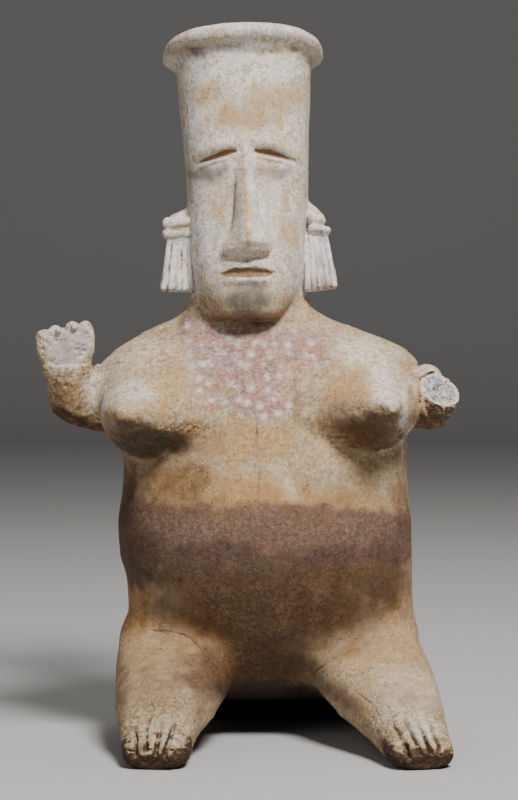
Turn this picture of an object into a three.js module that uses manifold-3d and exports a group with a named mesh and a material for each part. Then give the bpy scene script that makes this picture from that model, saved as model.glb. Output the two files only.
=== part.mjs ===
// A seated female figure of hollow fired clay, after the shaft tomb pottery of western Mexico.
// It is one solid: a built-up body with short legs, a tall head that is open at a flared rim,
// ear ornaments, one raised arm with a flat hand, and one arm broken off past the elbow.
// Millimetres, +Z up, the figure looks along -Y. The origin is the middle of the flat underside.
import * as THREE from 'three';
import { LoftGeometry } from 'three/addons/geometries/LoftGeometry.js';
import { mergeVertices } from 'three/addons/utils/BufferGeometryUtils.js';
import Module from 'manifold-3d';

const wasm = await Module();
wasm.setup();

// Driving dimensions of the whole figure
const wall = 7.5; // thickness of the clay over the hollow
const faceWall = 9; // the face is thicker, because its slits are cut into it
const floorWall = 9; // clay under the hollow, where it sits
const headTilt = THREE.MathUtils.degToRad( 12 ); // the head leans back
const headLean = THREE.MathUtils.degToRad( 1.3 ); // and a little to its own right
const rimSlope = 0.13; // the mouth rises towards the face,
const rimSaddle = 0.2; // and levels out behind the middle
const clayColour = 0xb9a88f;

// How finely each form is faceted
const sides = { body: 28, head: 34, leg: 16, arm: 12, breast: 14, nose: 10, roll: 6, groove: 4, hollow: 18 };

const vector = ( x, y, z ) => new THREE.Vector3( x, y, z );

// A frame to stack sections in: w runs along the form, -v looks towards the hint, u completes it.
function frameFrom( origin, along, hint ) {

	const w = along.clone().normalize();
	const v = hint.clone().addScaledVector( w, - hint.dot( w ) ).normalize().negate();
	return { origin, u: v.clone().cross( w ), v, w };

}

function frameBetween( from, to, hint ) {

	const along = to.clone().sub( from );
	return { ...frameFrom( from, along, hint ), reach: along.length() };

}

// A point given in a frame
function spot( { origin, u, v, w }, alongU, alongV, alongW ) {

	const p = origin.clone();
	return p.addScaledVector( u, alongU ).addScaledVector( v, alongV ).addScaledVector( w, alongW );

}

const blend = ( low, high, x ) => THREE.MathUtils.smoothstep( x, low, high );

// The value of one column of a list of stations at w, on a cubic through them that doesn't overshoot.
function columnAt( stations, column, w ) {

	const last = stations.length - 1;
	const rise = ( i ) => stations[ i + 1 ][ column ] - stations[ i ][ column ];
	const slope = ( i ) => rise( i ) / ( stations[ i + 1 ][ 0 ] - stations[ i ][ 0 ] );
	const tangent = ( i ) => {

		if ( i === 0 ) return slope( 0 );
		if ( i === last ) return slope( last - 1 );
		const [ before, after ] = [ slope( i - 1 ), slope( i ) ];
		return before * after <= 0 ? 0 : 2 * before * after / ( before + after );

	};

	let i = 0;
	while ( i < last - 1 && w > stations[ i + 1 ][ 0 ] ) i ++;
	const span = stations[ i + 1 ][ 0 ] - stations[ i ][ 0 ];
	const t = THREE.MathUtils.clamp( ( w - stations[ i ][ 0 ] ) / span, 0, 1 );
	const [ a, b ] = [ stations[ i ][ column ], stations[ i + 1 ][ column ] ];
	const [ ta, tb ] = [ tangent( i ) * span, tangent( i + 1 ) * span ];
	return a + t * ( ta + t * ( 3 * ( b - a ) - 2 * ta - tb + t * ( ta + tb - 2 * ( b - a ) ) ) );

}

// The same value for the hollow inside: no clay around height w is left thinner than asked for.
function innerAt( stations, column, w, clay ) {

	const shares = [ - 1, - 0.8, - 0.6, - 0.4, - 0.2, 0, 0.2, 0.4, 0.6, 0.8, 1 ];
	const reaches = shares.map( ( share ) => {

		return columnAt( stations, column, w + share * clay ) - clay * Math.sqrt( 1 - share * share );

	} );
	return Math.min( ...reaches );

}

const innerStation = ( stations, w, clays ) => [ w, ...clays.map( ( clay, i ) => innerAt( stations, i + 1, w, clay ) ) ];

// Sections stacked along a frame. A station is [ w, left, right, front, back ]: where the section is,
// and how far it reaches from the frame's axis. Squareness 2 is an ellipse, and more is a fuller section.
// Relief pushes a point out of the front, and shear slides it along the frame.
function stack( frame, stations, count, { squareness = 2, relief, shear } = {} ) {

	const power = 2 / squareness;
	const sections = stations.map( ( [ w, left, right, front, back ] ) => {

		return Array.from( { length: count }, ( _, i ) => {

			const angle = 2 * Math.PI * i / count;
			const [ c, s ] = [ Math.cos( angle ), Math.sin( angle ) ];
			const u = ( c < 0 ? - left : right ) * Math.abs( c ) ** power;
			let v = ( back - front ) / 2 + ( front + back ) / 2 * Math.sign( s ) * Math.abs( s ) ** power;
			if ( relief ) v -= relief( u, v, w );
			const along = w + ( shear ? shear( v, w ) : 0 );
			return spot( frame, u, v, along );

		} );

	} );
	return solid( new LoftGeometry( sections, { capStart: true, capEnd: true } ) );

}

// Where the front of a stack is, at u and w
function frontAt( stations, squareness, u, w ) {

	const side = columnAt( stations, u < 0 ? 1 : 2, w );
	const [ front, back ] = [ columnAt( stations, 3, w ), columnAt( stations, 4, w ) ];
	const share = Math.max( 0, 1 - ( Math.abs( u ) / side ) ** squareness ) ** ( 1 / squareness );
	return ( back - front ) / 2 - ( front + back ) / 2 * share;

}

// Sections that reach the same way to both sides, and the same way to the front and back
const even = ( rows ) => rows.map( ( [ w, side, depth = side ] ) => [ w, side, side, depth, depth ] );

// Rings along a path, each with its own two radii: along u, and along v towards the hint
function tube( points, radii, count, hint = vector( 0.13, - 1, 0.21 ) ) {

	const sections = points.map( ( point, i ) => {

		const before = points[ Math.max( i - 1, 0 ) ];
		const after = points[ Math.min( i + 1, points.length - 1 ) ];
		const frame = frameFrom( point, after.clone().sub( before ), hint );
		const [ a, b = a ] = radii[ i ];
		return Array.from( { length: count }, ( _, k ) => {

			const angle = 2 * Math.PI * k / count;
			return spot( frame, a * Math.cos( angle ), b * Math.sin( angle ), 0 );

		} );

	} );
	return solid( new LoftGeometry( sections, { capStart: true, capEnd: true } ) );

}

// A round-ended bar between two points
function bar( from, to, radius, count ) {

	const { w, reach } = frameBetween( from, to, vector( 0.13, - 1, 0.21 ) );
	const near = [ [ - 0.95, 0.35 ], [ - 0.55, 0.84 ], [ 0, 1 ] ];
	const rows = [
		...near.map( ( [ at, share ] ) => [ at * radius, share ] ),
		...near.map( ( [ at, share ] ) => [ reach - at * radius, share ] ).reverse(),
	];
	return tube(
		rows.map( ( [ at ] ) => from.clone().addScaledVector( w, at ) ),
		rows.map( ( [ , share ] ) => [ share * radius ] ),
		count,
	);

}

// A closed geometry as a solid that can be joined and cut
function solid( geometry ) {

	const bare = new THREE.BufferGeometry();
	bare.setAttribute( 'position', geometry.attributes.position );
	bare.setIndex( geometry.index );
	const merged = mergeVertices( bare, 1e-4 );
	return new wasm.Manifold( new wasm.Mesh( {
		numProp: 3,
		vertProperties: merged.attributes.position.array,
		triVerts: new Uint32Array( merged.index.array ),
	} ) );

}

const join = ( solids ) => solids.reduce( ( whole, part ) => whole.add( part ) );

const upright = frameFrom( vector( 0, 0, 0 ), vector( 0, 0, 1 ), vector( 0, - 1, 0 ) );

// The body, from the flat seat to the neck: height, reach to its right and left side, belly, back.
// Low down the belly ends behind the axis, because the figure sits on its hind edge.
const bodyStations = [
	[ - 2, 50, 55, - 27, 44 ],
	[ 4, 59, 63, - 23, 52 ],
	[ 9, 65, 69, - 19, 56.5 ],
	[ 14, 69, 74, - 9, 60 ],
	[ 17.5, 71.5, 77, 6, 62 ],
	[ 20.5, 73.5, 79.5, 22, 63.5 ],
	[ 25, 76, 82, 34, 65 ],
	[ 33, 79, 85, 45, 67 ],
	[ 45, 82, 88, 55, 68.5 ],
	[ 60, 82.5, 89, 65, 67.5 ],
	[ 76, 81.5, 88, 72.5, 65 ],
	[ 90, 82, 87.5, 77, 62 ],
	[ 106, 86, 87, 79.5, 59 ],
	[ 124, 87, 86.5, 78.5, 57 ],
	[ 142, 85, 85, 74, 55.5 ],
	[ 160, 84, 84, 68, 54 ],
	[ 176, 88, 84.5, 62, 53 ],
	[ 192, 94, 88, 57, 52 ],
	[ 206, 97.5, 92, 51, 50 ],
	[ 218, 96, 91.5, 45, 47 ],
	[ 226, 89, 85, 40, 44 ],
	[ 233, 79, 71, 35, 40 ],
	[ 239, 68, 55, 30, 36 ],
	[ 245, 55, 38, 26, 32 ],
	[ 252, 47, 28, 24, 30 ],
	[ 262, 44, 23, 23, 29 ],
];
const bodySquareness = 2.35;
const bodyHollow = [ 12, 18, 24, 31, 42, 60, 82, 106, 130, 152, 172, 192, 208, 220, 230, 238, 246, 262 ];

// The head stands on the neck. Its frame leans back and a little aside, and w is 0 just over the chin.
const headFrame = frameFrom(
	vector( - 9.4, - 8, 244 ),
	vector( - Math.sin( headLean ), Math.sin( headTilt ), Math.cos( headTilt ) ),
	vector( 0, - 1, 0 ),
);
const headStations = [
	[ - 4.5, 9, 9, 33, - 24 ],
	[ - 3.5, 14, 14, 35.5, - 19 ],
	[ - 1, 19, 19, 37, - 8 ],
	[ 3, 22.8, 22.8, 37.5, 8 ],
	[ 9, 27, 27, 37.5, 20 ],
	[ 15, 29.8, 29.8, 37.3, 26 ],
	[ 20, 31.3, 31.3, 37.2, 28 ],
	[ 25, 32.4, 32.4, 37, 29.5 ],
	[ 33, 33.7, 33.7, 36.8, 30.5 ],
	[ 45, 34.8, 34.6, 36.2, 31 ],
	[ 60, 35, 36, 35.4, 31.5 ],
	[ 76, 35.4, 36.8, 34.8, 32 ],
	[ 86, 35.8, 37.2, 34.5, 32.2 ],
	[ 91, 36, 37.4, 34.4, 32.3 ],
	[ 96, 36.3, 37.6, 34.3, 32.4 ],
	[ 101, 36.6, 37.9, 34.2, 32.5 ],
	[ 110, 37.3, 38.3, 34, 32.8 ],
	[ 124, 38.5, 38.9, 34, 33.2 ],
	[ 138, 39.8, 39.6, 34.4, 33.6 ],
	[ 150, 40.3, 40.3, 35, 34.2 ],
	[ 153.5, 41, 41, 36, 35 ],
	[ 156, 44, 44, 39, 38 ],
	[ 158, 47, 47, 42, 41 ],
	[ 161, 48.4, 48.4, 43.4, 42.3 ],
	[ 164, 47.4, 47.4, 42.4, 41.4 ],
	[ 166, 45, 45, 40, 39.2 ],
	[ 167, 42, 42, 37.2, 36.6 ],
];
const headSquareness = 2.4;
const headHollow = [ 10, 16, 24, 34, 48, 66, 90, 116, 140, 150 ];
const mouthOfHead = [ [ 160, 34.5, 34.5, 28, 28.5 ], [ 167, 38, 38, 33, 32.5 ], [ 185, 42, 42, 37, 36.5 ] ];
const rimRise = ( v, w ) => ( v < 0 ? - v * rimSlope : v * rimSaddle ) * blend( 100, 150, w );

const onHead = ( u, v, w ) => spot( headFrame, u, v, w );

// The face is laid out by shares of its own length, from the chin to the brow, and of its half width.
const faceLength = 102;
const faceHalf = 36;
const browLine = faceLength * 0.93;
const noseTip = faceLength * 0.33;
const mouthLine = faceLength * 0.2;
const slit = { from: faceHalf * 0.14, to: faceHalf * 0.84, drop: faceLength * 0.07, tall: 2.1, deep: 4.5 };
const lips = { reach: faceHalf * 0.46, tall: 1.9, deep: 4.5 };

// Brows, the pads under the eyes, cheeks, lips and chin, pushed out of the front of the head
function faceRelief( u, v, w ) {

	if ( v > - 8 ) return 0;
	const hump = ( x, reach ) => Math.exp( - ( ( x / reach ) ** 2 ) );
	const eyeLine = browLine - slit.drop * ( Math.abs( u ) - slit.from ) / ( slit.to - slit.from );
	const acrossEye = hump( Math.abs( u ) - 17, 15 );
	const brow = 1.8 * hump( w - eyeLine - 5.5, 4.5 ) * acrossEye;
	const pad = 1.2 * hump( w - eyeLine + 5, 3.5 ) * acrossEye;
	const cheek = - 1.3 * hump( w - noseTip - 30, 24 ) * hump( Math.abs( u ) - 18, 10 );
	const mouth = 2.4 * hump( w - mouthLine, 7 ) * hump( u, 17 );
	const chin = 1.4 * hump( w - 5, 8 ) * hump( u, 14 );
	return brow + pad + cheek + mouth + chin;

}

// The nose is a long blade that widens to the nostrils: height over its tip, half width, reach out.
const noseRows = [
	[ - 4, 5, 39 ],
	[ - 2.5, 10, 44.5 ],
	[ 0.5, 12.6, 47.5 ],
	[ 4.5, 12.6, 48.6 ],
	[ 9, 9.6, 48.3 ],
	[ 20, 7.2, 46 ],
	[ 36, 5.6, 42.3 ],
	[ 52, 4.2, 38.6 ],
	[ 62, 3, 36.2 ],
	[ 68, 1.6, 34.2 ],
];
const noseRoot = - 30; // it starts inside the clay of the face

function nose() {

	const stations = noseRows.map( ( [ up, half, out ] ) => [ noseTip + up, half, half, out, noseRoot ] );
	return stack( headFrame, stations, sides.nose, { squareness: 1.7 } );

}

// A gouge across the face at the given heights, following its curve: two are eyes and one the mouth
function gouge( reaches, heightAt, out, { tall, deep } ) {

	const ends = [ 0.25, 0.8, 1, 1, 0.8, 0.25 ];
	const [ from, to ] = reaches;
	const places = [ 0, 0.12, 0.35, 0.65, 0.88, 1 ].map( ( t ) => THREE.MathUtils.lerp( from, to, t ) );
	const sections = places.map( ( u, i ) => {

		const [ a, b ] = [ deep * ( 0.5 + 0.5 * ends[ i ] ), tall * ends[ i ] ];
		return Array.from( { length: 6 }, ( _, k ) => {

			const angle = 2 * Math.PI * k / 6;
			const w = heightAt( u );
			const v = frontAt( headStations, headSquareness, u, w ) - out;
			return onHead( u, v - a * Math.cos( angle ), w - b * Math.sin( angle ) );

		} );

	} );
	return solid( new LoftGeometry( sections, { capStart: true, capEnd: true } ) );

}

function eyeSlit( side ) {

	const reaches = side < 0 ? [ - slit.to, - slit.from ] : [ slit.from, slit.to ];
	const heightAt = ( u ) => {

		const t = ( Math.abs( u ) - slit.from ) / ( slit.to - slit.from );
		return browLine - slit.drop * t + 1.6 * Math.sin( Math.PI * t );

	};
	return gouge( reaches, heightAt, 0.3, slit );

}

const mouthSlit = () => gouge( [ - lips.reach, lips.reach ], () => mouthLine, 1.6, lips );

// Ear, two rolls of clay across its lobe, and a fringed pendant, on each side of the head
const earSets = [
	{
		ear: [ vector( - 43, 3, 308 ), vector( - 54, - 4, 302.5 ) ],
		rolls: [
			[ vector( - 57.5, - 8, 301.2 ), vector( - 46, - 8, 302 ) ],
			[ vector( - 57.5, - 8.5, 295.4 ), vector( - 46, - 8.5, 295.6 ) ],
		],
		top: vector( - 50.6, - 6, 295 ),
		foot: vector( - 52, - 11, 260.5 ),
	},
	{
		ear: [ vector( 25, 3, 310 ), vector( 31, - 4, 304 ) ],
		rolls: [
			[ vector( 28.5, - 8, 304 ), vector( 33, - 8, 303 ) ],
			[ vector( 29, - 8.5, 298.2 ), vector( 35.8, - 8.5, 296.6 ) ],
		],
		top: vector( 29.6, - 6, 296 ),
		foot: vector( 33.2, - 11, 261.5 ),
	},
];
const earRadius = 4.2;
const rollRadius = 3.2;
const pendant = { top: 6.8, foot: 9.9, thick: 3.6, strands: 5, grooveWide: 1.3, grooveDeep: 2, grooveFrom: 0.35 };

function earOrnament( { ear, rolls, top, foot } ) {

	const frame = frameBetween( top, foot, vector( 0, - 1, 0 ) );
	const { reach } = frame;
	const slab = stack( frame, even( [
		[ 0, pendant.top - 0.8, 2.8 ],
		[ 3, pendant.top, 3.3 ],
		[ reach * 0.5, ( pendant.top + pendant.foot ) / 2, pendant.thick ],
		[ reach - 3, pendant.foot, pendant.thick ],
		[ reach, pendant.foot - 0.8, 2.8 ],
	] ), 14, { squareness: 3.4 } );
	const step = 2 * pendant.foot / pendant.strands;
	const grooves = Array.from( { length: pendant.strands - 1 }, ( _, i ) => {

		const u = ( i + 1 ) * step - pendant.foot;
		const at = ( t, share ) => spot( frame, u * share, - pendant.thick, t * reach );
		return tube(
			[ at( pendant.grooveFrom, 0.75 ), at( pendant.grooveFrom + 0.15, 0.8 ), at( 1.1, 1.02 ) ],
			[ [ 0.4, 0.5 ], [ pendant.grooveWide, pendant.grooveDeep ], [ pendant.grooveWide, pendant.grooveDeep ] ],
			sides.groove,
			vector( 0, - 1, 0 ),
		);

	} );
	return join( [
		slab.subtract( join( grooves ) ),
		bar( ...ear, earRadius, sides.roll ),
		...rolls.map( ( ends ) => bar( ...ends, rollRadius, sides.roll ) ),
	] );

}

// Breasts: pointed, wide apart, and turned outwards. Share of the length, side, over and under
const breasts = [
	{ root: vector( - 65, - 36, 190 ), tip: vector( - 81.5, - 90, 190.5 ), size: 1 },
	{ root: vector( 57, - 36, 192 ), tip: vector( 72, - 90, 195.5 ), size: 0.96 },
];
const breastRows = [
	[ 0, 27, 27, 26 ],
	[ 0.25, 26, 23, 24.5 ],
	[ 0.5, 22.5, 18, 20.5 ],
	[ 0.7, 17, 13.5, 15.5 ],
	[ 0.84, 11.5, 9, 10 ],
	[ 0.93, 7, 6, 6.5 ],
	[ 1, 3.4, 3.4, 3.4 ],
];

function breast( { root, tip, size } ) {

	const frame = frameBetween( root, tip, vector( 0, 0, 1 ) );
	const stations = breastRows.map( ( [ t, side, over, under ] ) => {

		return [ t * frame.reach, side * size, side * size, over * size, under * size ];

	} );
	return stack( frame, stations, sides.breast );

}

// Legs: short cones that end in blunt feet.
// Share of the length, reach to the outer and inner side, reach over and under the axis
const legs = [
	{ hip: vector( - 48, - 22, 50 ), toe: vector( - 61.5, - 152, 6 ), outer: - 1 },
	{ hip: vector( 52, - 22, 50 ), toe: vector( 88, - 152, 6 ), outer: 1 },
];
const legRows = [
	[ 0, 38, 34, 28, 26 ],
	[ 0.15, 36.5, 33.5, 25, 23 ],
	[ 0.29, 34.5, 32, 22.5, 20.5 ],
	[ 0.45, 31.5, 28, 19.5, 19.5 ],
	[ 0.58, 28.5, 23.5, 16.5, 18.5 ],
	[ 0.68, 25.3, 20.5, 14, 17 ],
	[ 0.79, 21.8, 18.8, 11, 15.5 ],
	[ 0.9, 18.8, 18.5, 8.5, 12.2 ],
	[ 0.965, 16.5, 16.5, 6, 9 ],
	[ 1, 11, 11, 3, 5.5 ],
];
const legSquareness = 2.3;
const legHollow = { shares: [ 0.05, 0.2, 0.36, 0.46, 0.54 ], fade: [ 1, 1, 0.95, 0.75, 0.35 ], clay: 9.5 };
const toes = { grooves: 4, spread: 6.9, shift: 1.5, wide: 1.2, deep: 2.2 };

function legShape( { hip, toe, outer } ) {

	const frame = frameBetween( hip, toe, vector( 0, 0, 1 ) );
	const stations = legRows.map( ( [ t, out, inside, over, under ] ) => {

		const [ low, high ] = frame.u.x * outer > 0 ? [ inside, out ] : [ out, inside ];
		return [ t * frame.reach, low, high, over, under ];

	} );
	return { frame, stations };

}

function leg( one ) {

	const { frame, stations } = legShape( one );
	const onTop = ( t, u ) => {

		const w = t * frame.reach;
		return spot( frame, u, frontAt( stations, legSquareness, u, w ), w );

	};
	const grooves = Array.from( { length: toes.grooves }, ( _, i ) => {

		const u = ( i - ( toes.grooves - 1 ) / 2 ) * toes.spread + toes.shift;
		return tube(
			[ onTop( 0.77, u * 1.08 ), onTop( 0.82, u * 1.04 ), onTop( 0.9, u ), onTop( 0.96, u * 0.95 ), onTop( 1, u * 0.8 ) ],
			[ [ 0.4, 0.5 ], [ toes.wide, toes.deep ], [ toes.wide, toes.deep ], [ toes.wide, toes.deep ], [ toes.wide, 3.5 ] ],
			sides.groove,
			vector( 0, 0, 1 ),
		);

	} );
	return stack( frame, stations, sides.leg, { squareness: legSquareness } ).subtract( join( grooves ) );

}

function legCavity( one ) {

	const { frame, stations } = legShape( one );
	const { shares, fade, clay } = legHollow;
	const inside = shares.map( ( t, i ) => {

		const [ w, ...reach ] = innerStation( stations, t * frame.reach, [ clay, clay, clay, clay ] );
		return [ w, ...reach.map( ( r ) => r * fade[ i ] ) ];

	} );
	return stack( frame, inside, 14 );

}

// The raised arm: a short upper arm, a forearm bent straight up, and a flat hand with stub fingers
const raisedArm = {
	shoulder: vector( - 78, - 6, 197 ),
	elbow: vector( - 111.5, - 15, 197.5 ),
	forearmFoot: vector( - 111.8, - 14, 193.5 ),
	wrist: vector( - 116.5, - 24, 218 ),
	heel: vector( - 115.8, - 25, 213 ),
	tips: vector( - 117.6, - 30, 239.5 ),
};
const upperArmRows = [
	[ 0, 17, 17, 19.5, 20 ],
	[ 14, 16.5, 16.5, 19.5, 20 ],
	[ 22, 15.5, 15.5, 18.5, 19.3 ],
	[ 30, 14.5, 14.5, 14, 17 ],
	[ 38, 13, 13, 12, 13 ],
	[ 44, 10, 10, 9, 9 ],
	[ 48.5, 5, 5, 4.5, 4.5 ],
];
const forearmRows = [ [ - 8, 6.5 ], [ - 4.5, 10.2 ], [ 1, 12.8 ], [ 10, 13.6, 13 ], [ 19, 13.4, 11.8 ], [ 25.5, 13, 9.5 ], [ 28, 11, 6 ] ];
const palmRows = [ [ 0, 12, 4.5 ], [ 3, 13.3, 6 ], [ 9, 15.3, 6.2 ], [ 17, 17.3, 6 ], [ 22, 17.6, 5.4 ], [ 25.5, 16.5, 4.4 ], [ 27, 14, 3 ] ];
const fingers = { at: [ - 12.6, - 5.4, 4.6, 12.2 ], tall: [ - 8, - 1, 0.8, 0.4 ], radius: 4.2 };

function hand() {

	const frame = frameBetween( raisedArm.heel, raisedArm.tips, vector( 0, - 1, 0 ) );
	const stubs = fingers.at.map( ( u, i ) => {

		return bar( spot( frame, u, 0, 12 ), spot( frame, u, 0, frame.reach - 1 + fingers.tall[ i ] ), fingers.radius, sides.roll );

	} );
	return join( [ stack( frame, even( palmRows ), 18, { squareness: 2.7 } ), ...stubs ] );

}

function raised() {

	const { shoulder, elbow, forearmFoot, wrist } = raisedArm;
	const upper = frameBetween( shoulder, elbow, vector( 0, 0, 1 ) );
	const lower = frameBetween( forearmFoot, wrist, vector( 0, - 1, 0 ) );
	return join( [ stack( upper, upperArmRows, sides.arm ), stack( lower, even( forearmRows ), sides.arm ), hand() ] );

}

// The other arm is broken off just past the elbow, and a ledge of clay stands beside the break.
const brokenArm = {
	shoulder: vector( 72, - 4, 198 ),
	elbow: vector( 97, - 27, 195 ),
	fractureFoot: vector( 95.7, - 25.3, 191.3 ),
	fracture: vector( 102, - 37, 203.4 ),
	ledge: [ vector( 82, - 8, 201 ), vector( 95, - 22, 208.5 ) ],
};
const brokenRows = [
	[ 0, 16, 16, 17, 19 ],
	[ 12, 15, 15, 15, 15 ],
	[ 24, 13.5, 13.5, 13.5, 12.5 ],
	[ 33, 12, 12, 12, 12 ],
	[ 39, 9, 9, 9, 9 ],
	[ 42, 5, 5, 5, 5 ],
];

function broken() {

	const { shoulder, elbow, fractureFoot, fracture, ledge } = brokenArm;
	const upper = frameBetween( shoulder, elbow, vector( 0, 0, 1 ) );
	const lower = frameBetween( fractureFoot, fracture, vector( 0, 0, 1 ) );
	const stub = even( [ [ - 9, 6 ], [ - 6, 9.2 ], [ 0, 12.2 ], [ 8, 13 ], [ lower.reach, 12.3 ] ] );
	return join( [ stack( upper, brokenRows, sides.arm ), stack( lower, stub, sides.arm ), bar( ...ledge, 9.5, 12 ) ] );

}

// The hollow: body, legs and head in one, open at the mouth of the head
function hollow() {

	const clays = [ wall, wall, wall, wall ];
	const [ , ...lowest ] = innerStation( bodyStations, bodyHollow[ 0 ], clays );
	const body = [
		[ floorWall, ...lowest.map( ( r ) => r - 3 ) ],
		...bodyHollow.map( ( w ) => innerStation( bodyStations, w, clays ) ),
	];
	const head = [
		...headHollow.map( ( w ) => innerStation( headStations, w, [ wall, wall, faceWall, wall ] ) ),
		...mouthOfHead,
	];
	return join( [
		stack( upright, body, sides.hollow, { squareness: bodySquareness } ),
		stack( headFrame, head, sides.hollow, { squareness: headSquareness, shear: rimRise } ),
		...legs.map( legCavity ),
	] );

}

// Everything below the floor is cut away, which leaves the seat and the feet flat.
function aboveTheFloor() {

	const block = new THREE.BoxGeometry( 600, 600, 600 );
	block.translate( 0, 0, 300 );
	return solid( block );

}

function figureSolid() {

	const outside = join( [
		stack( upright, bodyStations, sides.body, { squareness: bodySquareness } ),
		stack( headFrame, headStations, sides.head, { squareness: headSquareness, relief: faceRelief, shear: rimRise } ),
		nose(),
		...earSets.map( earOrnament ),
		...breasts.map( breast ),
		...legs.map( leg ),
		raised(),
		broken(),
	] );
	const cuts = join( [ hollow(), eyeSlit( - 1 ), eyeSlit( 1 ), mouthSlit() ] );
	return outside.subtract( cuts ).intersect( aboveTheFloor() );

}

// A solid back as a three.js mesh, moved so that the origin is under the middle of its bounding box
function meshOf( name, made, colour ) {

	const { vertProperties, triVerts, numProp, numVert } = made.getMesh();
	const positions = new Float32Array( numVert * 3 );
	for ( let i = 0; i < numVert; i ++ ) positions.set( vertProperties.subarray( i * numProp, i * numProp + 3 ), i * 3 );
	const geometry = new THREE.BufferGeometry();
	geometry.setAttribute( 'position', new THREE.BufferAttribute( positions, 3 ) );
	geometry.setIndex( new THREE.BufferAttribute( triVerts, 1 ) );
	geometry.computeBoundingBox();
	const middle = geometry.boundingBox.getCenter( new THREE.Vector3() );
	geometry.translate( - middle.x, - middle.y, - geometry.boundingBox.min.z );
	geometry.computeVertexNormals();
	const mesh = new THREE.Mesh( geometry, new THREE.MeshStandardMaterial( { color: colour, roughness: 0.72, metalness: 0 } ) );
	mesh.name = name;
	return mesh;

}

const figure = new THREE.Group();
figure.add( meshOf( 'clay_figure', figureSolid(), clayColour ) );

export default figure;
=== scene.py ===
import math
import bmesh
import bpy
import numpy as np
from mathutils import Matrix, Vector
from mathutils.kdtree import KDTree


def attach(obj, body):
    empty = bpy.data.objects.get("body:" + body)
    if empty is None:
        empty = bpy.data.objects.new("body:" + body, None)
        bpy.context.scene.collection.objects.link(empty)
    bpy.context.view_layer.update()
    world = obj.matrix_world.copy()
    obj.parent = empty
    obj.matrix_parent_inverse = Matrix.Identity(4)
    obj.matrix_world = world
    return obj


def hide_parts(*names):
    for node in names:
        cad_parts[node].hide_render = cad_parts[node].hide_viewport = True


# A seated figure of hollow fired clay. Lengths in the tables are millimetres in the modelling frame:
# x to the viewer's right, y away from the viewer, z up. seatShift carries it to the shared frame.
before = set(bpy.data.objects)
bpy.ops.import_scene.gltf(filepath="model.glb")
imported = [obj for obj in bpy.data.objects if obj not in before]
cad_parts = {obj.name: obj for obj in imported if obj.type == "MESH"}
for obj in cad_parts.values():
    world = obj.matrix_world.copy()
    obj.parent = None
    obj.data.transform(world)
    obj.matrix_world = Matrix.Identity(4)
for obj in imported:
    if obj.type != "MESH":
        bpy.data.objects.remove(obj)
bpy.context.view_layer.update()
seatShift = np.array([10.741, 43.209, 0.0])

view = {
    "place": (0.00714, -1.55679, 0.250),
    "pitch": -1.92,  # degrees, below level
    "lens": 120.6,
    "middle": (265, 310),  # the pixel of a point at x = 0 and at that level
    "level": 250,
    "away": 1600,  # millimetres from the camera to y = 0
    "scale": 1.675,  # pixels to a millimetre at y = 0
}


def smoothStep(low, high, x):
    t = np.clip((x - low) / (high - low), 0, 1)
    return t * t * (3 - 2 * t)


def hump(x, reach):
    return np.exp(-((x / reach) ** 2))


def unit(a):
    return np.array(a, float) / np.linalg.norm(a)


# where a point is seen, in the pixels of a 518 x 800 frame
def seenAt(p):
    scale = view["scale"] * view["away"] / (view["away"] + p[:, 1])
    return view["middle"][0] + p[:, 0] * scale, view["middle"][1] - (p[:, 2] - view["level"]) * scale


# uneven clay: smooth random lumps of about the given size, from -1 to 1
def lumps(p, size, seed):
    lattice = np.random.default_rng(seed).uniform(-1, 1, (32, 32, 32)).astype(np.float32)
    q = p / size + 1000
    cell = np.floor(q).astype(np.int64)
    t = (q - cell).astype(np.float32)
    t = t * t * (3 - 2 * t)
    total = 0
    for corner in range(8):
        step = [corner & 1, corner >> 1 & 1, corner >> 2 & 1]
        weight = 1
        for axis in range(3):
            weight = weight * (t[:, axis] if step[axis] else 1 - t[:, axis])
        at = [(cell[:, axis] + step[axis]) % 32 for axis in range(3)]
        total = total + weight * lattice[at[0], at[1], at[2]]
    return total


# sections stacked along an axis, as a gap to their surface

def axes(origin, along, hint):
    w = unit(along)
    v = -unit(np.array(hint, float) - w * np.dot(hint, w))
    return {"origin": np.array(origin, float), "u": np.cross(v, w), "v": v, "w": w}


def axesBetween(start, end, hint):
    return axes(start, np.array(end, float) - np.array(start, float), hint)


def reachBetween(start, end):
    return float(np.linalg.norm(np.array(end, float) - np.array(start, float)))


def spanOf(start, end, hint):
    return axesBetween(start, end, hint), reachBetween(start, end)


toViewer, upward = (0, -1, 0), (0, 0, 1)


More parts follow.
